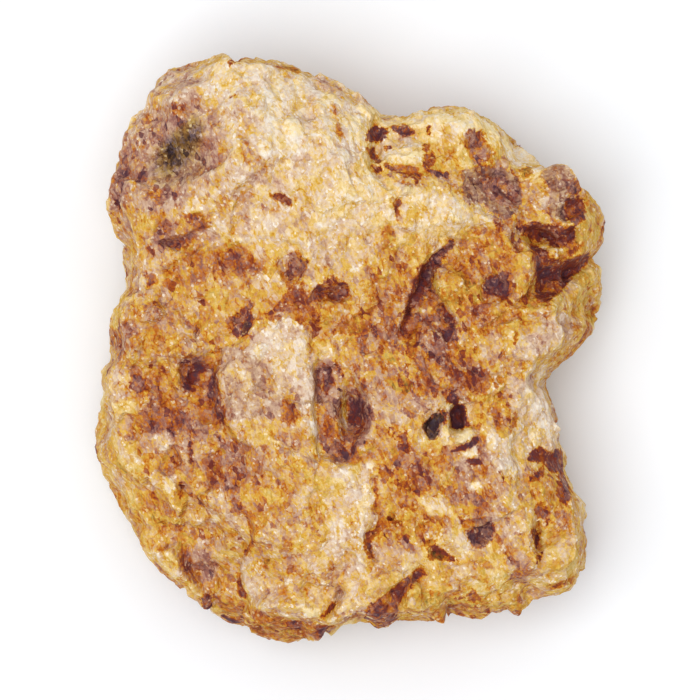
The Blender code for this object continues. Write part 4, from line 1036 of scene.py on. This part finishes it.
def paint(x, y, rows, values, softness):
    """Lays ovals over the values in turn: an oval counts fully inside and fades over its rim."""
    for middle_x, middle_y, half_length, half_width, turn, *aims in rows:
        reach = OVAL_REACH * max(half_length, half_width) + 1
        near = np.flatnonzero(np.hypot(x - middle_x, y - middle_y) < reach)
        place = across_oval(x[near], y[near], middle_x, middle_y, half_length, half_width, turn)
        fade = softness * min(half_length, half_width) ** -0.5
        weight = smooth_step((1 + fade / 2 - np.hypot(*place)) / fade)
        for value, aim in zip(values, aims):
            value[near] += (aim - value[near]) * weight


def depth_inside(x, y, corners):
    """Distance to the nearest side of a polygon, negative outside it."""
    nearest = np.full(len(x), 1e3)
    inside = np.zeros(len(x), bool)
    for (ax, ay), (bx, by) in zip(corners, corners[1:] + corners[:1]):
        share = ((x - ax) * (bx - ax) + (y - ay) * (by - ay)) / ((bx - ax) ** 2 + (by - ay) ** 2)
        share = np.clip(share, 0, 1)
        nearest = np.minimum(nearest, np.hypot(x - ax - share * (bx - ax), y - ay - share * (by - ay)))
        if ay != by:
            crossing = ax + (y - ay) * (bx - ax) / (by - ay)
            inside ^= ((ay > y) != (by > y)) & (x < crossing)
    return np.where(inside, nearest, -nearest)


def patches_near(x, y, reach):
    """Each patch in turn: which points lie near it, how deep they lie inside it, and its values."""
    for corners, stain_and_shade, cool, edge in PATCHES:
        (left, low), (right, high) = np.min(corners, axis=0) - reach, np.max(corners, axis=0) + reach
        near = np.flatnonzero((x > left) & (x < right) & (y > low) & (y < high))
        yield near, depth_inside(x[near], y[near], corners), stain_and_shade, cool, edge


def lay_soft_patches(x, y, stain_and_shade, cool):
    """Lays the patches whose edge is wide over the values in turn."""
    for near, depth, patch_stain_and_shade, patch_cool, edge in patches_near(x, y, PATCH_REACH):
        if edge > SHARP:
            weight = smooth_step(depth / edge + OUTSIDE)
            stain_and_shade[near] += (patch_stain_and_shade - stain_and_shade[near]) * weight
            cool[near] += (patch_cool - cool[near]) * weight


def sharp_layers(x, y):
    """Layers for the patches whose edge is narrow: how deep each point lies inside its patch, and its values.

    A patch that overlaps an earlier one goes into the layer above it, so that one layer's patches never meet.
    """
    layers = [np.tile([[-PATCH_REACH], [0.5], [0.0]], len(x)) for _ in range(LAYERS)]
    for near, depth, stain_and_shade, cool, edge in patches_near(x, y, PATCH_REACH):
        if edge > SHARP:
            continue
        lowest = 0
        for number, layer in enumerate(layers):
            if (np.minimum(layer[0][near], depth) > 0).any():
                lowest = min(number + 1, LAYERS - 1)
        layer = layers[lowest]
        closer = depth > layer[0][near]
        layer[:, near[closer]] = [depth[closer], np.full(closer.sum(), stain_and_shade), np.full(closer.sum(), cool)]
    return layers


def shifted(places, grain_middles, share, size, reach, seed):
    """Plan positions drawn towards the middle of each point's grain, then stirred by waves."""
    drawn = (places + share * (grain_middles - places)) * [1, 1, 0]
    x = drawn[:, 0] + reach * rough(drawn, size, seed)
    y = drawn[:, 1] + reach * rough(drawn, size, seed + 10)
    return x, y


def colour_stone(places, grains, upright):
    """The stored values of every point: painted on the face, random on the sides and the back."""
    stain_and_shade = np.full(len(places), PLAIN_STAIN)
    cool = np.full(len(places), PLAIN_COOLNESS)
    shine = np.zeros(len(places))
    soft_plan = shifted(places, grains[2][1], share=0.7, size=3.2, reach=0.6, seed=SEED + 120)
    paint(*soft_plan, AREAS, (stain_and_shade, cool), softness=1.6)
    plan = shifted(places, grains[3][1], share=0.25, size=2.4, reach=0.25, seed=SEED + 140)
    lay_soft_patches(*plan, stain_and_shade, cool)
    mark = grains[2][0]
    side_stain = uneven(places, *SIDE_STAIN, SEED + 160) + SIDE_GRAIN * (mark - 0.5)
    side_stain = np.where(mark > DARK_CHANCE, DARK_STAIN, side_stain)
    side_cool = uneven(places, *SIDE_COOLNESS, SEED + 170)
    facing = smooth_step(upright / FACE_TILT)
    values = {
        "stain_and_shade": stain_and_shade * facing + side_stain * (1 - facing),
        "cool": cool * facing + side_cool * (1 - facing),
    }
    for number, layer in enumerate(sharp_layers(*plan)):
        layer[0] -= PATCH_REACH * (1 - facing)
        values.update(zip(patch_names(number), layer))
    # the flakes' shine: smoother and, as a painted glint, lighter in colour
    paint(*plan, FLAKES, (shine,), softness=0.3)
    values["shine"] = shine * facing
    return values


def patch_names(number):
    """Names of the values that one layer of sharp patches stores."""
    return [f"patch{number}_{part}" for part in ("depth", "stain_and_shade", "cool")]


def level_streaks(places):
    """Whether the streaks lie level (1) or steep (0) at every place, fading from one to the other."""
    share = np.zeros(len(places))
    paint(places[:, 0], places[:, 1], LEVEL_STREAKS, (share,), softness=2.0)
    return share


def add_attribute(mesh, name, values):
    """Stores one number for each vertex, for the material to read."""
    layer = mesh.attributes.new(name, "FLOAT", "POINT")
    layer.data.foreach_set("value", values.astype(np.float32))


def linear(red, green, blue):
    """A display colour from 0 to 255 as the linear colour that a shader takes."""
    parts = np.array([red, green, blue]) / 255
    parts = np.where(parts <= 0.04045, parts / 12.92, ((parts + 0.055) / 1.055) ** 2.4)
    return (*parts.tolist(), 1.0)


WARM = [
    (0.00, (240, 215, 160)),  # cream
    (0.40, (215, 170, 60)),  # ochre
    (0.68, (190, 110, 15)),  # amber
    (0.85, (155, 70, 15)),  # rust
    (1.00, (115, 45, 30)),  # dark rust
]
COOL = [
    (0.00, (240, 230, 215)),  # white feldspar
    (0.40, (205, 172, 145)),  # fawn
    (0.70, (155, 105, 90)),  # mauve
    (1.00, (80, 45, 55)),  # plum
]
GREY = [
    (0.00, (235, 230, 220)),  # white feldspar
    (0.50, (180, 155, 140)),  # dove
    (0.80, (105, 90, 95)),  # slate
    (1.00, (50, 40, 50)),  # near black
]
OLIVE = [
    (0.00, (235, 220, 175)),  # cream
    (0.45, (185, 155, 75)),  # straw
    (0.75, (120, 85, 35)),  # olive brown
    (1.00, (55, 35, 20)),  # umber
]

# Sizes in the material, in metres.
BIG_GRAIN = 0.0022
SMALL_GRAIN = 0.0010
TINY_GRAIN = 0.00045
CLOUD = 0.0045
SPECKLE = 0.0004
BORDER_GAPS = 0.003  # size of the noise that hides most of the grain borders
RAGGED_SIZE = 0.0009  # size of the noise that makes the edges of sharp patches ragged
BEND_SIZE = 0.0009  # size of the noise that bends the grains
BEND_REACH = 0.0004  # how far it bends them

GRAIN_STRETCH = 1.6  # length of the grains against their width
STREAK_STRETCH = 3.5  # length of the streaks against their width
STEEP = 110  # bearing of the steep streaks and of the grains, in degrees
LEVEL = 22  # bearing of the level streaks
RAGGED_REACH = 1.9  # how far the edges of sharp patches stray, in millimetres for the noise's whole range
PATCH_SHARPNESS = 2.4  # how fast a sharp patch takes over, for each millimetre inwards
RIM_SHARPNESS = 3.5  # how fast the rusty rim fades, for each millimetre from the edge
BORDER_SHARPNESS = 22.0  # how thin the grain borders are
RUST_CHANCE = 0.9  # grains whose chance is above this can be rust specks
GLINT_CHANCE = 0.96  # tiny grains whose chance is above this are lighter: painted glints
COOLER = 0.13  # added to the coolness everywhere
SHINE_PAINTED_GLINT = 0.6  # how far full shine lowers the stain: a painted glint
DULLEST = 0.88  # roughness of the dullest grains
GRAIN_POLISH = 0.4  # how much less rough the smoothest grains are
SHINE_POLISH = 0.4  # how much less rough full shine is
GLOSS = 0.2  # strength of the mirror-like share of the light

# Value from which something shows, and how fast it does so above that.
KHAKI_SHOWS = (0.95, 3.0)  # khaki, by the coolness laid by the tables
GREY_SHOWS = (1.2, 1.5)  # grey in place of olive, by the coolness of each grain
BORDERS_SHOW = (0.47, 8.0)  # grain borders, by the noise that hides them
SPECKS_SHOW = (0.28, 5.0)  # rust specks, by the stain
RIMS_SHOW = (0.5, 5.0)  # the rusty rim of a sharp patch, by its stain

# How much of each grain's own direction is added to the surface's normal.
SMALL_LEAN = 0.24
TINY_LEAN = 0.15
SLIVER_LEAN = 0.1


class Nodes:
    """Short calls for building one material's node tree."""

    def __init__(self, name):
        self.material = bpy.data.materials.new(name)
        self.material.use_nodes = True
        self.tree = self.material.node_tree
        self.shader = self.tree.nodes["Principled BSDF"]
        self.place = self.add("ShaderNodeTexCoord").outputs["Object"]

    def add(self, kind, **settings):
        """A node with its settings."""
        node = self.tree.nodes.new(kind)
        for key, value in settings.items():
            setattr(node, key, value)
        return node

    def feed(self, socket, value):
        """Links an output to an input, or sets the input to a plain value."""
        if hasattr(value, "is_output"):
            self.tree.links.new(value, socket)
        else:
            socket.default_value = value

    def math(self, operation, first, second=0.0, clamp=False):
        """One sum of two numbers."""
        node = self.add("ShaderNodeMath", operation=operation, use_clamp=clamp)
        self.feed(node.inputs[0], first)
        self.feed(node.inputs[1], second)
        return node.outputs[0]

    def vector(self, operation, *values):
        """One sum of vectors; a plain number stands for three equal parts."""
        node = self.add("ShaderNodeVectorMath", operation=operation)
        for socket, value in zip(node.inputs, values):
            self.feed(socket, (value,) * 3 if isinstance(value, float) else value)
        return node.outputs[0]

    def scaled(self, value, start, gain, clamp=False):
        """How far a value lies above a start, times a gain; clamp keeps it from 0 to 1."""
        return self.math("MULTIPLY", self.math("SUBTRACT", value, start), gain, clamp)

    def fading(self, value, gain):
        """1 where a value is 0, falling evenly to 0 where the value times the gain is 1."""
        return self.math("SUBTRACT", 1.0, self.math("MULTIPLY", value, gain), clamp=True)

    def changed(self, value, changes):
        """The value plus each part's distance from its middle times its amount."""
        for part, middle, amount in changes:
            value = self.math("ADD", value, self.scaled(part, middle, amount))
        return value

    def attribute(self, name):
        """A number stored on the vertices."""
        return self.add("ShaderNodeAttribute", attribute_name=name).outputs["Fac"]

    def stretched(self, turn, stretch, place=None):
        """Positions turned about Z and squeezed along their first axis, for streaks."""
        node = self.add("ShaderNodeMapping", vector_type="TEXTURE")
        node.inputs["Rotation"].default_value = (0, 0, math.radians(turn))
        node.inputs["Scale"].default_value = (stretch, 1, 1)
        self.feed(node.inputs["Vector"], place or self.place)
        return node.outputs[0]

    def noise(self, size, detail=3.0, place=None, roughness=0.6, output="Fac"):
        """Cloudy noise of a size in metres, from 0 to 1; its Color output is three of them."""
        node = self.add("ShaderNodeTexNoise")
        node.inputs["Scale"].default_value = 1 / size
        node.inputs["Detail"].default_value = detail
        node.inputs["Roughness"].default_value = roughness
        self.feed(node.inputs["Vector"], place or self.place)
        return node.outputs[output]

    def cells(self, size, place=None):
        """Grains of a size in metres."""
        node = self.add("ShaderNodeTexVoronoi")
        node.inputs["Scale"].default_value = 1 / size
        self.feed(node.inputs["Vector"], place or self.place)
        return node

    def ramp(self, value, stops):
        """Colours along a value."""
        node = self.add("ShaderNodeValToRGB")
        line = node.color_ramp
        while len(line.elements) < len(stops):
            line.elements.new(0.5)
        for element, (at, colour) in zip(line.elements, stops):
            element.position = at
            element.color = linear(*colour)
        self.feed(node.inputs[0], value)
        return node.outputs[0]

    def mix(self, share, first, second, kind="RGBA"):
        """A blend of two colours, two numbers or two positions."""
        node = self.add("ShaderNodeMix", data_type=kind)
        at, output = {"FLOAT": (2, 0), "VECTOR": (4, 1), "RGBA": (6, 2)}[kind]
        self.feed(node.inputs[0], share)
        self.feed(node.inputs[at], first)
        self.feed(node.inputs[at + 1], second)
        return node.outputs[output]


def grain_value(nodes, size, place=None):
    """Two random numbers of each grain, from 0 to 1, and the random direction that its face leans in."""
    cells = nodes.cells(size, place)
    split = nodes.add("ShaderNodeSeparateColor")
    nodes.feed(split.inputs[0], cells.outputs["Color"])
    return split.outputs[0], split.outputs[1], cells.outputs["Color"]


def leaning_faces(nodes, leanings):
    """The surface's normal plus a share of each grain's own direction, made one long."""
    facing = nodes.add("ShaderNodeNewGeometry").outputs["Normal"]
    for direction, share in leanings:
        facing = nodes.vector("ADD", facing, nodes.vector("MULTIPLY_ADD", direction, share, -share / 2))
    return nodes.vector("NORMALIZE", facing)


def wandering_place(nodes, size, reach):
    """Object positions stirred by noise."""
    drift = nodes.noise(size, 2.0, roughness=0.5, output="Color")
    return nodes.vector("MULTIPLY_ADD", drift, reach, nodes.place)


def lay_layers(nodes, stain_and_shade, tint):
    """Lays the sharp patches over the stain with its painted shade and over the tint, with ragged edges; dark
    ones get a rusty rim.
    """
    ragged = nodes.scaled(nodes.noise(RAGGED_SIZE, 4.0), 0.5, RAGGED_REACH)
    rims = 0.0
    for number in range(LAYERS):
        depth, patch_stain_and_shade, patch_cool = (nodes.attribute(name) for name in patch_names(number))
        depth = nodes.math("ADD", depth, ragged)
        inside = nodes.math("ADD", nodes.math("MULTIPLY", depth, PATCH_SHARPNESS), 0.5, clamp=True)
        stain_and_shade = nodes.mix(inside, stain_and_shade, patch_stain_and_shade, "FLOAT")
        tint = nodes.mix(inside, tint, patch_cool, "FLOAT")
        rim = nodes.fading(nodes.math("ABSOLUTE", depth), RIM_SHARPNESS)
        dark = nodes.scaled(patch_stain_and_shade, *RIMS_SHOW, clamp=True)
        rims = nodes.math("MAXIMUM", rims, nodes.math("MULTIPLY", rim, dark))
    return stain_and_shade, tint, rims


def grain_borders(nodes, place):
    """Thin wandering lines where a noise crosses its middle, from 0 to 1, shown only here and there."""
    offset = nodes.math("ABSOLUTE", nodes.math("SUBTRACT", nodes.noise(BIG_GRAIN, 2.0, place), 0.5))
    shown = nodes.scaled(nodes.noise(BORDER_GAPS, 2.0), *BORDERS_SHOW, clamp=True)
    return nodes.math("MULTIPLY", nodes.fading(offset, BORDER_SHARPNESS), shown)


def rust_specks(nodes, chance, stain_and_shade):
    """Small dark grains, from 0 to 1: one in ten where the stone is stained and none where it is clean."""
    chosen = nodes.math("GREATER_THAN", chance, RUST_CHANCE)
    stained = nodes.scaled(stain_and_shade, *SPECKS_SHOW, clamp=True)
    return nodes.math("MULTIPLY", chosen, stained)


def choose_colour(nodes, stain_and_shade, tint, laid_tint, marks):
    """Picks between the four colour lines by the coolness.

    Below 0 the warm line turns olive, less so on the rusty marks, and from 0 to 1 it gives way to the cool
    line. Where the coolness that was laid is high it is khaki: olive, or grey on the coolest grains.
    """
    to_cool = nodes.math("ADD", tint, 0.0, clamp=True)
    to_olive = nodes.math("MULTIPLY", tint, -1.0, clamp=True)
    to_olive = nodes.math("SUBTRACT", to_olive, marks, clamp=True)
    to_grey = nodes.scaled(tint, *GREY_SHOWS, clamp=True)
    to_khaki = nodes.scaled(laid_tint, *KHAKI_SHOWS, clamp=True)
    warm, cool, grey, olive = (nodes.ramp(stain_and_shade, line) for line in (WARM, COOL, GREY, OLIVE))
    colour = nodes.mix(to_cool, nodes.mix(to_olive, warm, olive), cool)
    return nodes.mix(to_khaki, colour, nodes.mix(to_grey, olive, grey))


def feldspar_material():
    """Stained feldspar.

    The stored stain, which also holds painted shade, is broken up by grains, clouds and streaks, made darker
    in hollows as painted shade and lighter on ridges as painted light, and lighter on a few tiny grains and
    on the flakes as painted glints; then it runs along four colour lines: cream through ochre to rust, white
    through fawn and mauve to plum, white through dove to near black, and cream through straw to umber. The
    stored coolness and each grain's chance choose between them. The parts of the stain and of the coolness
    are rows of a value, its middle and how much it counts.
    """
    nodes = Nodes("stained_feldspar")
    slanted = nodes.stretched(STEEP, GRAIN_STRETCH, wandering_place(nodes, BEND_SIZE, BEND_REACH))
    big, big_tint, _ = grain_value(nodes, BIG_GRAIN, slanted)
    small, small_tint, small_lean = grain_value(nodes, SMALL_GRAIN, slanted)
    tiny, tiny_tint, tiny_lean = grain_value(nodes, TINY_GRAIN)
    level = nodes.math("GREATER_THAN", nodes.attribute("level_streaks"), 0.5)
    steep_place, level_place = (nodes.stretched(turn, STREAK_STRETCH) for turn in (STEEP, LEVEL))
    streaks = nodes.mix(level, steep_place, level_place, "VECTOR")
    sliver, _, sliver_lean = grain_value(nodes, TINY_GRAIN, streaks)
    borders = grain_borders(nodes, slanted)
    stain_and_shade, laid_tint, rims = lay_layers(nodes, nodes.attribute("stain_and_shade"), nodes.attribute("cool"))
    specks = rust_specks(nodes, small_tint, stain_and_shade)
    shine = nodes.attribute("shine")
    stain_and_shade_parts = (
        (nodes.attribute("grain_large"), 0.5, 0.08),
        (nodes.attribute("grain_middle"), 0.5, 0.12),
        (nodes.attribute("grain_small"), 0.5, 0.10),
        # ridge_fine and ridge_broad: darker in hollows as painted shade and lighter on ridges as painted
        # light
        (nodes.attribute("ridge_fine"), 0.0, -0.2),
        (nodes.attribute("ridge_broad"), 0.0, -0.02),
        (big, 0.5, 0.18),
        (small, 0.5, 0.18),
        (tiny, 0.5, 0.13),
        (sliver, 0.5, 0.13),
        (nodes.noise(CLOUD), 0.35, 0.28),
        (nodes.noise(SPECKLE, 2.0, roughness=0.7), 0.5, 0.2),
        (rims, 0.0, 0.14),
        (borders, 0.0, 0.22),
        (specks, 0.0, 0.24),
        # a few tiny grains are made lighter: painted glints
        (nodes.math("GREATER_THAN", tiny_tint, GLINT_CHANCE), 0.0, -0.25),
    )
    stain_and_shade = nodes.changed(stain_and_shade, stain_and_shade_parts)
    # full shine lowers the stain: a painted glint
    stain_and_shade = nodes.math("SUBTRACT", stain_and_shade, nodes.math("MULTIPLY", shine, SHINE_PAINTED_GLINT), clamp=True)
    tint_parts = (
        (big_tint, 0.5, 0.7),
        (small_tint, 0.5, 0.75),
        (tiny_tint, 0.5, 0.9),
        (nodes.attribute("grain_middle"), 0.5, 0.4),
        (rims, 0.0, -0.5),
        (borders, 0.0, -0.6),
        (specks, 0.0, -0.5),
    )
    tint = nodes.changed(nodes.math("ADD", laid_tint, COOLER), tint_parts)
    marks = nodes.math("ADD", nodes.math("ADD", rims, borders), specks)
    nodes.feed(nodes.shader.inputs["Base Color"], choose_colour(nodes, stain_and_shade, tint, laid_tint, marks))
    dull = nodes.math("ADD", nodes.math("MULTIPLY", small_tint, -GRAIN_POLISH), DULLEST)
    dull = nodes.math("SUBTRACT", dull, nodes.math("MULTIPLY", shine, SHINE_POLISH), clamp=True)
    nodes.feed(nodes.shader.inputs["Roughness"], dull)
    nodes.shader.inputs["Metallic"].default_value = 0.0
    nodes.shader.inputs["Specular IOR Level"].default_value = GLOSS
    leanings = ((small_lean, SMALL_LEAN), (tiny_lean, TINY_LEAN), (sliver_lean, SLIVER_LEAN))
    nodes.feed(nodes.shader.inputs["Normal"], leaning_faces(nodes, leanings))
    return nodes.material


def build_stone():
    """The visible stone, centred as the CAD solid is."""
    places, grains = shape_stone(GRID, BREAKS)
    keep, quads = sew(GRID)
    normals = leans(places, GRID)
    normals /= np.linalg.norm(normals, axis=1, keepdims=True) + 1e-12
    upright = evened(normals, GRID, FACING_REACH)[:, 2]
    values = {
        **colour_stone(places, grains, upright),
        "level_streaks": level_streaks(places),
        # how far points stand out, which the material turns into painted shade in hollows and painted light
        # on ridges
        "ridge_fine": standing_out(places, normals, GRID, FINE_REACH),
        "ridge_broad": standing_out(places, normals, GRID, BROAD_REACH),
        "grain_large": grains[1][0],
        "grain_middle": grains[2][0],
        "grain_small": grains[3][0],
    }
    places[:, 2] = np.maximum(places[:, 2], 0)
    middle = (places.min(axis=0) + places.max(axis=0)) / 2
    places[:, :2] -= middle[:2]
    stone = add_object("stone", mesh_from("stone", places[keep] * MM, quads))
    for name, numbers in values.items():
        add_attribute(stone.data, name, numbers[keep])
    thin_out(stone, TRIANGLES)
    stone.data.shade_flat()
    stone.data.materials.clear()
    stone.data.materials.append(feldspar_material())
    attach(stone, "root")
    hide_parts(NODE)
    return middle


STONE_MIDDLE = (0, 0, 0.02)  # what the lights point at and the camera's distance is measured from
SKY_STRENGTH = 0.55
FLOOR_HALF = 4  # half the length of the floor's side, in metres
FLOOR_COLOUR = (0.925, 0.95, 0.985, 1)


def build_floor():
    """A plain pale floor: one square."""
    corners = FLOOR_HALF * np.array([[-1, -1, 0], [1, -1, 0], [1, 1, 0], [-1, 1, 0]])
    floor = add_object("floor", mesh_from("floor", corners, np.array([[0, 1, 2, 3]])))
    material = bpy.data.materials.new("pale_floor")
    material.use_nodes = True
    shader = material.node_tree.nodes["Principled BSDF"]
    shader.inputs["Base Color"].default_value = FLOOR_COLOUR
    shader.inputs["Roughness"].default_value = 0.9
    shader.inputs["Specular IOR Level"].default_value = 0.0
    floor.data.materials.append(material)


def area_light(name, place, aim, size, power):
    """A soft square light that points at a spot."""
    data = bpy.data.lights.new(name, "AREA")
    data.size = size
    data.energy = power
    light = add_object(name, data)
    light.location = place
    light.rotation_euler = (Vector(aim) - Vector(place)).to_track_quat("-Z", "Y").to_euler()


def build_light():
    """A soft key light from the left, a weaker one from beyond the stone and an even white sky."""
    area_light("key", place=(-0.24, -0.14, 1.1), aim=STONE_MIDDLE, size=0.8, power=7.4)
    area_light("fill", place=(0.1, 0.5, 1.2), aim=STONE_MIDDLE, size=0.9, power=2.5)
    world = bpy.data.worlds.new("studio")
    bpy.context.scene.world = world
    world.use_nodes = True
    world.node_tree.nodes["Background"].inputs["Color"].default_value = (1, 1, 1, 1)
    world.node_tree.nodes["Background"].inputs["Strength"].default_value = SKY_STRENGTH


def build_camera(middle):
    """A long lens that looks straight down, with 5 pixels to the millimetre in a frame of 700."""
    distance = 1.5
    frame_width = 0.140
    data = bpy.data.cameras.new("camera")
    data.lens = data.sensor_width * distance / frame_width
    data.clip_end = 20
    camera = add_object("camera", data)
    camera.location = (-middle[0] * MM, -middle[1] * MM, distance + STONE_MIDDLE[2])
    bpy.context.scene.camera = camera


middle = build_stone()
build_floor()
build_light()
build_camera(middle)
bpy.context.scene.view_settings.view_transform = "Standard"
